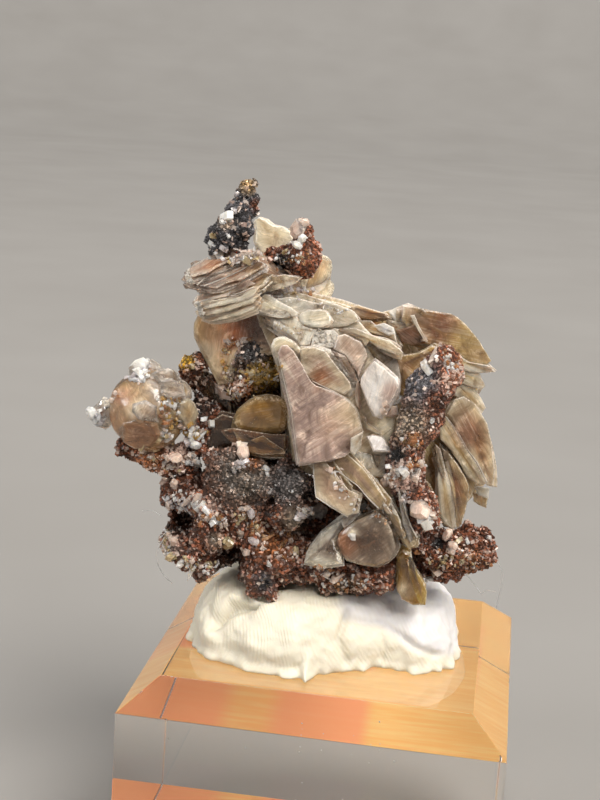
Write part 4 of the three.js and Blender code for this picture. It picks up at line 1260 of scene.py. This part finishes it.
class Druse(Works):
    """A tree of geometry nodes under construction."""

    def __init__(self, name):
        self.tree = bpy.data.node_groups.new(name, "GeometryNodeTree")
        self.given = self.tree.nodes.new("NodeGroupInput")

    def asks(self, name, kind="NodeSocketFloat"):
        self.tree.interface.new_socket(name=name, in_out="INPUT", socket_type=kind)
        return Sock(self, self.given.outputs[name])

    def named(self, name, kind="FLOAT"):
        return self.node("GeometryNodeInputNamedAttribute", {"data_type": kind}, {0: name})

    def toned(self, geometry, tone):
        return self.node("GeometryNodeStoreNamedAttribute", {"data_type": "FLOAT_COLOR", "domain": "POINT"},
                         {0: geometry, "Name": "tone", "Value": tone})

    def draw(self, high, seed):
        """A draw between 0 and high for each crystal."""
        return self.node("FunctionNodeRandomValue", {"data_type": "FLOAT"},
                         {2: 0.0, 3: high, "Seed": seed}, out=1)

    def draw_vector(self, low, high, seed):
        return self.node("FunctionNodeRandomValue", {"data_type": "FLOAT_VECTOR"},
                         {0: low, 1: high, "Seed": seed})

    def ends(self, geometry):
        self.tree.interface.new_socket(name="Geometry", in_out="OUTPUT", socket_type="NodeSocketGeometry")
        self.tree.links.new(geometry.socket, self.tree.nodes.new("NodeGroupOutput").inputs[0])
        return self.tree


def druse_works():
    """Scatters fine dark grains and larger pale crystals over a crust, each with its own tone."""
    w = Druse("druse")
    crust_in = w.asks("Crust", "NodeSocketGeometry")
    density = w.asks("Grains")
    size = w.asks("Grain size")
    bloom_density = w.asks("Crystals")
    bloom_size = w.asks("Crystal size")
    seed = w.asks("Seed", "NodeSocketInt")

    def scatter(density_here, own_tone, kinds, scale, offset):
        points = w.node("GeometryNodeDistributePointsOnFaces", {},
                        {0: crust_in, "Density": density_here, "Seed": seed + float(offset)})
        return w.node("GeometryNodeInstanceOnPoints", {}, {
            "Points": w.toned(points, own_tone), "Pick Instance": True, "Scale": scale,
            "Instance": w.node("GeometryNodeGeometryToInstance", {}, {0: kinds}),
            "Rotation": w.draw_vector((0, 0, 0), (6.28, 6.28, 6.28), offset + 1),
        })

    own = w.named("tone", "FLOAT_COLOR")
    coarse = w.named("coarse")
    chip = w.node("GeometryNodeMeshUVSphere", {}, {"Segments": 4, "Rings": 2, "Radius": 0.7})
    rhomb = w.node("GeometryNodeMeshCube", {}, {"Size": (1.0, 0.75, 0.9)})
    leaf_chip = w.node("GeometryNodeMeshCube", {}, {"Size": (1.1, 0.3, 0.9)})
    shade = w.draw(1.0, 3) ** 2.2 * 2.1 + 0.35
    grey = w.node("FunctionNodeCombineColor", {}, {0: shade, 1: shade, 2: shade})
    grains = scatter(density / (coarse * coarse), w.mixed(1.0, own, grey, "MULTIPLY"), [chip, rhomb],
                     w.scaled(w.draw_vector((0.45, 0.45, 0.5), (1.0, 1.0, 1.45), 6), size * coarse), 10)
    pale_tone = w.mixed(w.draw(1.0, 12), (0.46, 0.3, 0.24), (0.78, 0.66, 0.58))
    pale_tone = w.mixed(w.draw(0.5, 13), pale_tone, own)
    pale = scatter(bloom_density * w.named("bloom"), pale_tone, [rhomb, leaf_chip, chip],
                   w.scaled(w.draw_vector((0.5, 0.5, 0.5), (1.1, 1.0, 1.1), 14), bloom_size), 30)
    # The crust between the grains is darkened to 0.4: partly its dark oxide, partly painted shade in the
    # gaps
    base = w.toned(crust_in, w.mixed(1.0, own, (0.4, 0.4, 0.4), "MULTIPLY"))
    whole = w.node("GeometryNodeJoinGeometry", {}, {0: [base, grains, pale]})
    real = w.node("GeometryNodeRealizeInstances", {}, {0: whole})
    return w.ends(w.node("GeometryNodeSetMaterial", {}, {0: real, "Material": finishes["oxide"]}))


druse = druse_works()


def grown_over(piece, given):
    """The crust with its tiny crystals, as a plain mesh."""
    works = piece.modifiers.new("druse", "NODES")
    works.node_group = druse
    for item in druse.interface.items_tree:
        if item.in_out == "INPUT" and item.name in given:
            works[item.identifier] = given[item.name]
    return settled(piece)


def knobbly(places, normals, swell, knobs, inset, shift):
    """Places moved out and in along their normals, as rough knobs of two sizes."""
    moved = places.copy()
    for i, (place, normal) in enumerate(zip(places / mm, normals)):
        p = Vector(place) + shift
        low = noise.fractal(p * 0.42, 1.0, 2.0, 3)
        cell = noise.voronoi(p * 0.75)[0][0]
        small = noise.voronoi(p * 1.9)[0][0]
        moved[i] += normal * mm * (
            swell * low + knobs * (0.5 - cell) + 0.35 * knobs * (0.4 - small) - inset)
    return moved


def sunk(places, normals, hollows):
    """Places on the front pushed back into hollows: (centre, radius, depth)."""
    moved = places.copy()
    for centre, radius, depth in hollows:
        near = np.clip(1 - nearness(places, centre, radius) ** 2, 0, 1) ** 1.2 * (normals[:, 1] < 0.3)
        moved[:, 1] += near * depth * mm
    return moved


def spread_over(places, ground, spots):
    """A number over places, with round patches of others."""
    value = np.full(len(places), float(ground))
    for centre, radius, own in spots:
        value += (own - value) * np.clip(1.6 - 1.2 * nearness(places, centre, radius), 0, 1)
    return value


pale_crystal_size = 0.42


def crust(name, node, ground, spots=(), coarse=(), bloom=0.3, blooms=(), hollows=(), grains=20, size=0.3,
          crystals=8, seed=1, swell=0.8, knobs=0.7, inset=0.15, voxel=0.26, lumps=()):
    """A piece of matrix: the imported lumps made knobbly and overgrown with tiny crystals."""
    piece, places, normals = evened(name, node, voxel, 3, lumps)
    mesh = piece.data
    places = knobbly(places, normals, swell, knobs, inset, Vector((seed * 3.1, 0, 0)))
    places = sunk(places, normals, hollows)
    mesh.vertices.foreach_set("co", places.ravel())
    # Hollows are darkened to a fifth of the ground tone: painted shade in the recesses
    dark = [(centre, radius * 0.85, ground * 0.2) for centre, radius, _ in hollows]
    store(mesh, "tone", painted(places, ground, [*spots, *dark]))
    store(mesh, "coarse", spread_over(places, 1, coarse))
    store(mesh, "bloom", spread_over(places, bloom, blooms))
    return grown_over(piece, {
        "Grains": grains / mm ** 2, "Grain size": size * mm, "Seed": seed,
        "Crystals": crystals / mm ** 2, "Crystal size": pale_crystal_size * mm,
    })


coal = soot * 0.5
matrix_kinds = [
    ("matrix_right_finger", "oxide_dark", dict(name="finger_crust", ground=iron * 0.9,
         spots=[((422, 385), 24, slate * 1.4), ((408, 425), 22, ash * 0.55),
         ((452, 378), 13, tint(176, 120, 92)), ((450, 352), 10, iron * 1.2), ((436, 400), 12, iron * 0.8),
         ((414, 440), 8, ginger), ((397, 455), 12, coal), ((400, 480), 16, shell_pink * 0.5),
         ((404, 525), 18, iron * 0.5)], bloom=0.25, blooms=[((455, 372), 14, 0.7), ((400, 478), 16, 1.0),
         ((412, 440), 8, 0.8)], grains=26, size=0.26, seed=1, swell=0.4, knobs=0.6)),
    ("matrix_stalk", "oxide_dark", dict(name="stalk_crust", ground=slate * 0.75,
         spots=[((248, 185), 9, tan * 0.6), ((226, 222), 7, ash), ((243, 236), 8, coal),
         ((256, 205), 6, iron)], bloom=0.18, grains=34, size=0.22, seed=2, swell=0.6, knobs=0.9,
         inset=0.25, lumps=[(256, 200, 0.65), (255, 209, 0.6), (243, 188, 0.6), (253, 186, 0.6)])),
    ("matrix_crown", "oxide_red", dict(name="crown_crust", ground=iron * 1.1,
         spots=[((283, 262), 10, coal), ((318, 240), 8, iron * 1.4)], bloom=0.1, grains=30, size=0.25,
         seed=3, swell=0.3, knobs=0.5, inset=0.25)),
    ("matrix_spine", "oxide_dark", dict(name="spine_crust", ground=bark * 0.3,
         spots=[((255, 352), 15, soot * 0.8), ((264, 378), 15, moss), ((243, 386), 10, ginger * 0.9),
         ((276, 364), 8, moss * 0.6), ((228, 350), 8, shell_pink * 0.6),
         # The coal patch at 212,402 is painted shadow in the gap beside the ball
         ((228, 374), 7, shell_pink * 0.5), ((212, 402), 15, coal)], bloom=0.2,
         blooms=[((230, 355), 12, 1), ((240, 388), 10, 1)], hollows=[((208, 372), 20, 4),
         ((214, 400), 18, 3.5)], grains=20, size=0.25, seed=4, inset=0.3)),
    ("matrix_left_arm", "oxide_red", dict(name="left_arm_crust", ground=iron * 0.8,
         # The bark and coal patches at 204,382 and 200,405 are painted shadow in the gap beside the ball,
         # and the coal patch at 189,447 painted shade in a hollow
         spots=[((186, 361), 8, moss * 1.3), ((204, 382), 12, bark * 0.5), ((200, 405), 14, coal),
         ((150, 458), 18, ginger * 0.8), ((178, 450), 12, shell_pink * 0.5), ((189, 447), 5, coal),
         ((140, 448), 8, iron * 1.4)], bloom=0.3, blooms=[((176, 455), 16, 0.9), ((192, 430), 10, 1)],
         hollows=[((208, 398), 18, 3), ((190, 448), 6, 1.5)], grains=22, size=0.28, seed=5, inset=0.25)),
    ("matrix_base", "oxide_red", dict(name="base_crust", ground=iron * 0.85,
         spots=[((245, 474), 36, tint(112, 100, 90)), ((290, 484), 24, tint(96, 90, 88)),
         # The three small coal patches from 278,488 to 266,514 are painted shade along a crack
         ((252, 462), 9, ginger * 0.7), ((278, 488), 3.5, coal), ((272, 500), 4, coal),
         ((266, 514), 4, coal), ((206, 507), 10, shell_pink * 0.7), ((264, 582), 10, slate * 0.9),
         ((272, 546), 14, ginger * 0.7), ((170, 548), 12, shell_pink * 0.4), ((295, 520), 14, ash * 0.7),
         ((345, 588), 16, bark * 0.5), ((215, 540), 8, ash * 0.6)], coarse=[((245, 474), 40, 0.72),
         ((290, 484), 26, 0.72)], bloom=0.3, blooms=[((245, 474), 36, 0.02), ((290, 484), 26, 0.02),
         ((200, 510), 20, 0.8), ((168, 540), 18, 0.9)], hollows=[((180, 526), 17, 4.5),
         ((228, 562), 20, 3.5), ((309, 498), 9, 3), ((272, 500), 5, 1), ((200, 468), 8, 1.5),
         ((195, 480), 6, 1.5)], grains=10, size=0.34, crystals=5, seed=6, voxel=0.33, inset=0.2)),
    ("matrix_right_foot", "oxide_red", dict(name="right_foot_crust", ground=iron * 0.75,
         spots=[((438, 543), 9, coal), ((470, 562), 14, ginger * 0.5), ((452, 570), 12, iron)],
         bloom=0.12, grains=28, size=0.28, seed=7, swell=0.5, knobs=0.9, inset=0.4,
         lumps=[(470, 528, 0.95), (480, 531, 0.95), (486, 538, 0.9)])),
]


# Tack and block

def creased(local, along, width, depth):
    """How far a crease along points (x, z) pulls the front of the tack in."""
    best = np.full(len(local), 9.0)
    flat = local[:, [0, 2]]
    for a, b in zip(along, along[1:]):
        a, b = np.array(a, float), np.array(b, float)
        share = np.clip((flat - a) @ (b - a) / ((b - a) @ (b - a)), 0, 1)
        best = np.minimum(best, np.linalg.norm(flat - a - share[:, None] * (b - a), axis=1))
    return depth * np.exp(-(best / width) ** 2)


# Creases and, with a depth below zero, rolls: points (x, z), width and depth
tack_creases = [
    ([(-9.6, 3.0), (-8.2, 4.6), (-6.4, 5.4)], 0.45, 1.3),
    ([(1.6, 5), (1.2, 3), (2, 1)], 0.35, 0.5),
    ([(1.6, 4.6), (5, 3.6), (9.4, 1.6)], 0.3, 0.45),
    ([(-10.8, 1), (-7, 1.5), (-2, 0.9)], 0.5, 0.25),
    ([(-10.6, 2.2), (-9.4, 4.4), (-8, 5.8)], 1.0, -0.5),
    ([(-6, 3.4), (-2, 3.2)], 2.0, -0.4),
    ([(3, 3), (8, 2.4)], 1.4, -0.3),
]


def tack():
    """The pressed tack, with its creases, its rolled left edge and its ragged lip."""
    piece, places, normals = evened("pressed_tack", "mineral_tack", 0.22, 10)
    mesh = piece.data
    local = above_block(places)
    front = np.clip(-normals[:, 1] * 1.5, 0, 1)
    pull = front * sum(creased(local, *crease) for crease in tack_creases)
    moved = places.copy()
    tip = seen(305, 683, (0, 0, 0), upward)
    spike = np.exp(-((local[:, 0] - tip[0]) / 0.4) ** 2) * np.clip(1.2 - local[:, 2] / 1.8, 0, 1) * front
    moved[:, 1] -= 1.5 * spike * mm
    for i, (p, normal) in enumerate(zip(local, normals)):
        here = Vector(p)
        lumps = 0.35 * noise.fractal(here * 0.35, 1.0, 2.0, 3)
        lumps += 0.08 * noise.fractal(here * 1.6, 1.0, 2.0, 2)
        skirt = max(0.0, 1 - p[2] / 0.9) * (0.35 + 0.9 * noise.noise(Vector((p[0] * 1.1, p[1] * 1.1, 0))))
        flat = Vector((normal[0], normal[1], 0))
        moved[i] += (normal * (lumps * min(1, p[2] / 0.6) - pull[i]) + np.array(flat) * skirt) * mm
    moved[:, 2] = np.maximum(moved[:, 2], block_top + 0.01 * mm)
    mesh.vertices.foreach_set("co", moved.ravel())
    over = (local[:, 2] - 4.6 + 0.385 * (local[:, 0] - 1.6)) / 0.7 + 0.5
    right = (np.clip(over, 0, 1) * np.clip((local[:, 0] - 0.4) / 1.2, 0, 1))[:, None]
    tones = tint(236, 230, 212) * (1 - right) + tint(232, 230, 230) * right
    # Tones darken by up to 30 % in the creases: painted shade
    deep = np.clip(pull / 1.2, 0, 1)[:, None]
    tones = tones * (1 - 0.3 * deep)
    turning = np.clip((local[:, 0] + 5) / 5, 0, 1)
    bent = local[:, 0] + 0.14 * (local[:, 2] - 2.2) ** 2 * (1 - turning)
    slant = local[:, 0] * 0.85 + (local[:, 2] - 2.2) * 0.6
    lines = bent * (1 - turning) + slant * turning
    store(mesh, "tone", np.hstack([tones, np.ones((len(tones), 1))]))
    store(mesh, "rim", np.clip(local[:, 2] / 2 + 0.2, 0, 1) * (1 - 0.5 * right[:, 0]))
    store(mesh, "grain", np.stack([lines, local[:, 2] * 0.25, local[:, 1] * 0.25], 1))
    mesh.shade_smooth()
    mesh.materials.clear()
    mesh.materials.append(finishes["tack"])
    return piece


def display_block():
    piece = shown("display_block", merged_copy("acrylic_block", "display_block"))
    whole = bmesh.new()
    whole.from_mesh(piece.data)
    bmesh.ops.dissolve_limit(whole, angle_limit=0.01, verts=whole.verts, edges=whole.edges)
    bmesh.ops.bevel(whole, geom=whole.edges, offset=block_edge_round, segments=2, affect="EDGES",
                    profile=0.5)
    whole.to_mesh(piece.data)
    whole.free()
    piece.data.materials.clear()
    piece.data.materials.append(finishes["acrylic"])
    return piece


film_edge = ("188,652 192,668 203,684 222,698 262,708 310,712 370,714 420,710 452,696 466,676 462,650 "
            "440,630 300,610 210,620")
speck_count = 46
speck_room = (28, 4, 15)
speck_middle = (0, -13.2, -10.5)
film_low = 0.01
film_high = 0.04
film_reach = 12.8
fibres = [
    ("466,574 472,581 477,588 481,594", -4, 0.035),
    ("490,556 498,562 503,572 502,584 496,608", -3, 0.035),
    ("481,594 488,590 496,592", -3.5, 0.03),
    ("161,516 152,510 142,511", -7, 0.035),
    ("164,538 158,548 156,560 162,574 172,583", -7, 0.04),
]


def lint_fibres():
    """Fine fibres of lint caught on the specimen."""
    growth = Growth()
    for places, depth, radius in fibres:
        ends = np.array([seen(c, r, (0, depth, 0), viewer_way) for c, r in marks(places)])
        at = np.linspace(0, len(ends) - 1, 14)
        low = np.minimum(at.astype(int), len(ends) - 2)
        share = (at - low)[:, None]
        line = ends[low] * (1 - share) + ends[low + 1] * share
        for _ in range(2):
            line[1:-1] = (line[:-2] + line[1:-1] * 2 + line[2:]) / 4
        strand(growth, line, radius)
    return growth.piece("lint_fibres", finishes["lint"])


def adhesive_dot():
    """The thin film of an adhesive dot under the tack."""
    growth = Growth()
    outline = walked(np.array([seen(c, r, (0, 0, 0), upward) for c, r in marks(film_edge)]), 0.8)
    for _ in range(3):
        outline = (np.roll(outline, 1, 0) + 2 * outline + np.roll(outline, -1, 0)) / 4
    outline[:, :2] = np.clip(outline[:, :2], -film_reach, film_reach)
    middle = outline.mean(0)
    rings = [middle + (outline - middle) * share + (0, 0, level)
             for share, level in [(0.5, film_low), (1, film_low), (0.99, film_high), (0.5, film_high)]]
    growth.skin(middle + (0, 0, film_low), rings, middle + (0, 0, film_high), milky(frost, 1))
    return growth.piece("adhesive_dot", finishes["film"])


def block_specks():
    """Tiny bubbles and specks of dust in the clear block."""
    growth = Growth()
    dice = np.random.default_rng(31)
    for _ in range(speck_count):
        centre = np.array(speck_room) * (dice.random(3) - 0.5) + speck_middle
        crystal(growth, centre, "lens", 0.08 + 0.1 * dice.random(), milky(frost, 1), dice.random(3) - 0.5,
                dice)
    return growth.piece("block_specks", finishes["lint"])


def kept(piece, node):
    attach(piece, body)
    if node:
        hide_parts(node)
    return piece


def surface_of(pieces):
    """One searchable surface of all the pieces."""
    places, faces, start = [], [], 0
    for piece in pieces:
        mesh = piece.data
        places.append(places_of(mesh))
        faces += [tuple(start + v for v in face.vertices) for face in mesh.polygons]
        start += len(mesh.vertices)
    return BVHTree.FromPolygons(np.vstack(places).tolist(), faces)


grain_tones = {
    "white": milky(tint(244, 238, 232), 0.85),
    "pink": milky(tint(232, 204, 190), 0.75),
    "lilac": milky(tint(214, 204, 206), 0.65),
    "blond": milky(tint(220, 192, 146), 0.55),
    "amber": milky(tint(190, 122, 64), 0.5),
    "gilt": milky(tint(206, 158, 72), 0.6),
    "iron": milky(iron, 0.8),
    "veil": milky(veil, 0.8),
}
# Each single crystal: column, row, kind, size and tone
grown_crystals = """
139 367 lens 2.0 white, 133 372 lens 1.0 white, 145 366 lens 1.0 white, 142 379 lens 0.8 white,
136 377 rhomb 0.6 lilac, 127 378 lens 0.6 lilac, 94 413 lens 1.5 white, 97 420 lens 0.9 white,
101 428 rhomb 0.8 white, 90 410 lens 0.6 white, 104 434 rhomb 0.7 white, 106 443 lens 0.7 white,
116 393 lens 0.6 pink, 113 400 rhomb 0.5 pink, 118 397 rhomb 0.4 amber, 179 413 rhomb 0.5 white,
179 426 rhomb 0.6 pink, 183 433 rhomb 0.7 pink, 211 424 rhomb 0.9 white, 204 419 rhomb 0.5 white,
222 389 rhomb 1.7 pink, 228 342 rhomb 0.6 pink, 192 366 rhomb 0.5 blond, 206 370 spike 0.6 pink,
176 457 lens 1.3 pink, 167 458 lens 0.7 pink, 172 466 rhomb 0.5 pink, 196 463 rhomb 0.9 white,
193 455 rhomb 0.6 pink, 195 444 lens 1.2 white, 187 441 rhomb 0.8 lilac, 190 434 rhomb 0.6 white,
200 437 spike 0.8 white, 242 452 lens 1.5 pink, 238 447 rhomb 0.8 pink, 239 463 rhomb 0.7 lilac,
266 469 lens 0.8 white, 268 475 rhomb 0.4 white, 292 491 rhomb 0.3 white, 167 481 lens 1.3 pink,
175 484 rhomb 0.8 pink, 163 510 lens 2.0 pink, 161 518 rhomb 0.7 pink, 158 528 rhomb 0.6 pink,
202 505 rhomb 1.2 white, 206 511 spike 1.0 white, 197 498 rhomb 0.7 pink, 213 520 rhomb 0.8 white,
222 524 rhomb 0.5 white, 219 517 rhomb 0.5 amber, 251 514 lens 1.1 lilac, 244 509 rhomb 0.9 pink,
228 541 lens 1.6 blond, 190 500 spike 1.2 pink, 186 507 spike 1.0 lilac, 174 542 rhomb 0.8 pink,
172 556 rhomb 0.9 blond, 182 564 rhomb 0.8 white, 166 550 rhomb 0.6 pink, 192 560 rhomb 0.6 pink,
191 571 spike 1.0 white, 253 542 lens 1.0 lilac, 262 548 rhomb 0.6 pink, 241 534 rhomb 0.8 pink,
246 552 rhomb 0.7 pink, 270 564 rhomb 0.5 white, 277 553 rhomb 0.5 pink, 258 530 rhomb 0.6 amber,
266 538 spike 0.9 amber, 282 545 spike 0.8 amber, 301 515 lens 1.0 lilac, 316 509 lens 1.7 lilac,
323 513 lens 1.0 lilac, 330 471 rhomb 0.7 pink, 336 487 rhomb 0.5 pink, 297 552 rhomb 0.8 blond,
327 572 rhomb 0.6 pink, 338 577 rhomb 1.0 pink, 352 536 rhomb 0.6 white, 366 572 rhomb 0.4 white,
346 589 rhomb 0.5 amber, 226 217 rhomb 1.0 white, 223 222 lens 0.7 white, 235 210 rhomb 0.6 lilac,
237 194 lens 0.6 lilac, 219 255 lens 1.1 white, 224 249 rhomb 0.6 lilac, 249 249 lens 0.8 white,
247 260 rhomb 0.8 blond, 257 254 rhomb 0.6 pink, 212 245 rhomb 0.7 white, 214 236 rhomb 0.6 blond,
228 236 lens 0.5 white, 243 256 rhomb 0.7 pink, 235 256 rhomb 0.7 pink, 304 222 lens 1.1 pink,
298 229 lens 1.7 pink, 302 239 lens 1.1 white, 297 246 lens 1.0 white, 285 252 rhomb 0.5 blond,
276 259 lens 0.5 white, 280 268 rhomb 0.4 white, 290 289 rhomb 0.6 lilac, 297 292 rhomb 0.6 lilac,
304 290 rhomb 0.6 white, 310 294 rhomb 0.5 amber, 284 290 rhomb 0.5 lilac, 389 412 rhomb 1.2 pink,
386 405 rhomb 0.7 pink, 397 402 spike 0.8 white, 434 357 spike 1.0 pink, 427 368 rhomb 0.9 white,
430 362 rhomb 0.5 pink, 411 441 rhomb 0.9 amber, 416 436 rhomb 0.6 amber, 432 420 rhomb 0.5 white,
455 366 rhomb 0.5 amber, 447 392 rhomb 0.4 pink, 416 474 rhomb 0.9 pink, 404 471 rhomb 0.9 white,
409 466 rhomb 0.6 amber, 398 474 rhomb 0.6 white, 421 463 lens 0.8 pink, 384 482 lens 0.9 pink,
390 480 rhomb 0.7 pink, 421 512 lens 2.3 pink, 423 518 rhomb 1.0 white, 425 524 rhomb 1.5 white,
416 505 rhomb 1.0 white, 429 515 rhomb 1.0 pink, 449 535 lens 1.2 pink, 453 547 lens 1.1 pink,
459 541 rhomb 0.6 blond, 436 571 rhomb 0.9 pink, 431 579 spike 0.9 white, 488 537 rhomb 0.5 white,
467 541 rhomb 0.4 white, 444 562 rhomb 0.6 blond, 470 556 rhomb 0.5 amber, 418 552 rhomb 0.5 amber,
391 594 rhomb 0.6 amber, 396 601 rhomb 0.5 pink
"""
# Each patch: a line from column and row to column and row, spread, count, size and tones
sprinkled = """
160 405 176 403 5 44 0.42 gilt white amber, 168 414 170 424 5 34 0.42 gilt pink amber,
160 430 170 440 5 26 0.45 pink white blond, 188 436 204 428 6 36 0.5 white pink gilt,
190 452 196 470 5 22 0.5 white pink, 93 411 101 424 4 26 0.5 white white lilac,
133 366 148 369 6 46 0.42 white white lilac, 128 378 145 378 4 22 0.4 white pink lilac,
140 452 176 470 6 50 0.42 pink amber blond, 226 345 250 340 4 34 0.4 pink pink amber,
225 350 228 380 4 30 0.4 pink blond gilt, 240 372 272 380 7 60 0.36 gilt blond white,
228 392 250 398 5 36 0.38 pink amber blond, 230 262 262 256 5 40 0.4 pink white blond,
280 262 312 258 7 40 0.3 white blond amber, 283 290 312 292 3 22 0.35 lilac white blond,
170 500 204 506 8 44 0.45 pink white lilac, 196 516 226 522 6 36 0.42 white pink amber,
236 516 270 536 8 56 0.4 amber pink blond, 280 530 300 560 8 50 0.38 amber pink iron,
160 520 170 560 6 44 0.42 pink white blond, 180 560 220 572 6 40 0.4 pink blond white,
388 478 424 466 8 60 0.42 pink white amber, 404 440 420 444 5 30 0.4 amber gilt white,
398 495 412 500 5 24 0.36 pink lilac, 430 560 480 562 10 60 0.36 amber pink blond,
312 570 366 584 7 60 0.36 amber pink white, 444 352 458 372 6 44 0.34 pink amber white,
232 470 250 462 4 14 0.36 lilac pink, 272 324 304 336 5 46 0.2 white white blond,
268 294 300 300 5 26 0.2 white lilac white, 318 300 348 316 5 26 0.2 white white blond,
386 592 404 602 3 40 0.3 amber pink blond, 250 378 276 370 6 50 0.36 gilt blond gilt,
334 464 346 500 5 24 0.3 pink white amber, 352 500 392 520 6 40 0.3 amber pink white,
300 512 326 512 5 30 0.5 lilac pink veil
"""


def small_crystals(carriers):
    """The single crystals that stand out, each where it is seen, and patches of smaller ones."""
    surface = surface_of(carriers)
    growth = Growth()
    start = Vector(spot(eye))
    dice = np.random.default_rng(23)

    def put(column, row, kind, size, tone):
        found, normal, _, _ = surface.ray_cast(start, Vector(sight(column, row)).normalized())
        if found is None:
            return
        centre = above_block(found)
        facing = unit(np.array(normal) + 0.9 * (dice.random(3) - 0.5) + np.array([0, -0.5, 0]))
        crystal(growth, centre + facing * size * 0.1, kind, size, tone, facing, dice)

    for entry in grown_crystals.split(","):
        column, row, kind, size, tone = entry.split()
        column, row, size, tone = int(column), int(row), float(size), grain_tones[tone]
        put(column, row, kind, size, tone)
        for _ in range(2):
            aside = size * 5 * (dice.random(2) - 0.5) * 2
            put(column + aside[0], row + aside[1], "rhomb", size * (0.25 + 0.3 * dice.random()), tone)
    for entry in sprinkled.split(","):
        *numbers, spread, count, size = [float(n) for n in entry.split()[:7]]
        tones = [grain_tones[name] for name in entry.split()[7:]]
        a, b = np.array(numbers[:2]), np.array(numbers[2:])
        for _ in range(int(count)):
            column, row = a + (b - a) * dice.random() + spread * dice.normal(0, 0.6, 2)
            tone = tones[dice.integers(len(tones))]
            kind = ("rhomb", "rhomb", "lens", "spike")[dice.integers(4)]
            put(column, row, kind, size * (0.5 + 0.8 * dice.random()), tone)
    return growth.piece("small_crystals", finishes["grain"])


# Stage

floor_sides = 72
floor_profile = [(0.05, 0), (0.3, 0), (0.6, 0), (0.9, 0.0), (1.05, 0.02), (1.2, 0.08), (1.3, 0.17),
                 (1.36, 0.28), (1.38, 0.4)]
card_corners = [(-1, -1), (1, -1), (1, 1), (-1, 1)]
aimed_at = Vector((0, 0, 0.04))
light_bounces = 24
lens_length = 67.8
sensor_width = 36


def stage():
    """A pale floor that rises to a wall all round, and a warm card pressed under the clear block, whose
    colours are a painted reflection of the hand and table.
    """
    places, faces = [], []
    floor_level = lowest - 0.25 * mm
    for reach, height in floor_profile:
        for i in range(floor_sides):
            turn = 2 * math.pi * i / floor_sides
            places.append((reach * math.cos(turn), reach * math.sin(turn), floor_level + height))
    for here in range(0, floor_sides * (len(floor_profile) - 1), floor_sides):
        for i in range(floor_sides):
            j = (i + 1) % floor_sides
            faces.append((here + i, here + floor_sides + i, here + floor_sides + j, here + j))
    faces.append(tuple(range(floor_sides)))
    ground = bpy.data.meshes.new("studio_floor")
    ground.from_pydata(places, [], faces)
    ground.shade_smooth()
    ground.materials.append(studio_paper())
    card = bpy.data.meshes.new("warm_card")
    half = block_side / 2 - 0.1 * mm
    level = lowest + 0.05 * mm
    card.from_pydata([(x * half, y * half, level) for x, y in card_corners], [], [(0, 1, 2, 3)])
    card.materials.append(reflection_card())
    shown("studio_floor", ground)
    shown("warm_card", card)


def lamp(name, place, side, power, colour):
    light = bpy.data.lights.new(name, "AREA")
    light.shape = "SQUARE"
    light.size = side
    light.energy = power
    light.color = colour
    holder = shown(name, light)
    holder.location = place
    holder.rotation_mode = "QUATERNION"
    holder.rotation_quaternion = (aimed_at - Vector(place)).to_track_quat("-Z", "Y")


def lights():
    lamp("key_softbox", (1.1, -1.1, 1.9), 1.3, 70, (1, 0.955, 0.89))
    lamp("left_softbox", (-2.0, -1.2, 0.9), 0.9, 22, (1, 0.98, 0.96))
    lamp("top_softbox", (0.2, 0.6, 2.3), 1.5, 26, (1, 0.98, 0.95))
    world = bpy.data.worlds.new("studio_air")
    world.use_nodes = True
    air = world.node_tree.nodes["Background"]
    air.inputs["Color"].default_value = (1.0, 0.97, 0.94, 1)
    air.inputs["Strength"].default_value = 0.36
    scene = bpy.context.scene
    scene.world = world
    scene.cycles.max_bounces = light_bounces
    scene.cycles.transmission_bounces = light_bounces
    scene.cycles.transparent_max_bounces = light_bounces
    scene.view_settings.view_transform = "Standard"


def camera():
    """The camera at the eye from which the places in the picture were read."""
    forward = Vector(view_forward).normalized()
    up = Vector(view_right).normalized().cross(forward).normalized()
    right = forward.cross(up)
    lens_data = bpy.data.cameras.new("camera")
    lens_data.lens = lens_length
    lens_data.sensor_width = sensor_width
    lens_data.clip_start = 1 * mm
    lens_data.clip_end = 20
    holder = shown("camera", lens_data)
    holder.matrix_world = Matrix((
        *((right[i], up[i], -forward[i], spot(eye)[i]) for i in range(3)),
        (0, 0, 0, 1),
    ))
    bpy.context.scene.camera = holder


camera()
lights()
stage()
carriers = [
    kept(main_rosette(), "main_rosette"),
    kept(upper_left_rosette(), "upper_left_rosette"),
    kept(back_blades(), "back_top_blades"),
    kept(sheet_piece("smoky_crystal_body", "smoky", smoky_sheets, smoky_spots),
         "smoky_crystal"),
    kept(ball_body(), "ball_rosette"),
    kept(ball_growths(), None),
    kept(sheet_piece("left_lenses", "yellow", left_sheets, left_spots),
         "left_lens_crystals"),
    kept(sheet_piece("lower_smoky_blades", "smoky", lower_sheets, lower_spots),
         "lower_blades"),
    kept(sheet_piece("yellow_point", "yellow", point_sheets, point_spots),
         "hanging_point"),
    *(kept(crust(node=node, **kind), node) for node, slot, kind in matrix_kinds),
]
kept(small_crystals(carriers), None)
kept(tack(), "mineral_tack")
kept(adhesive_dot(), None)
kept(lint_fibres(), None)
kept(block_specks(), None)
kept(display_block(), "acrylic_block")
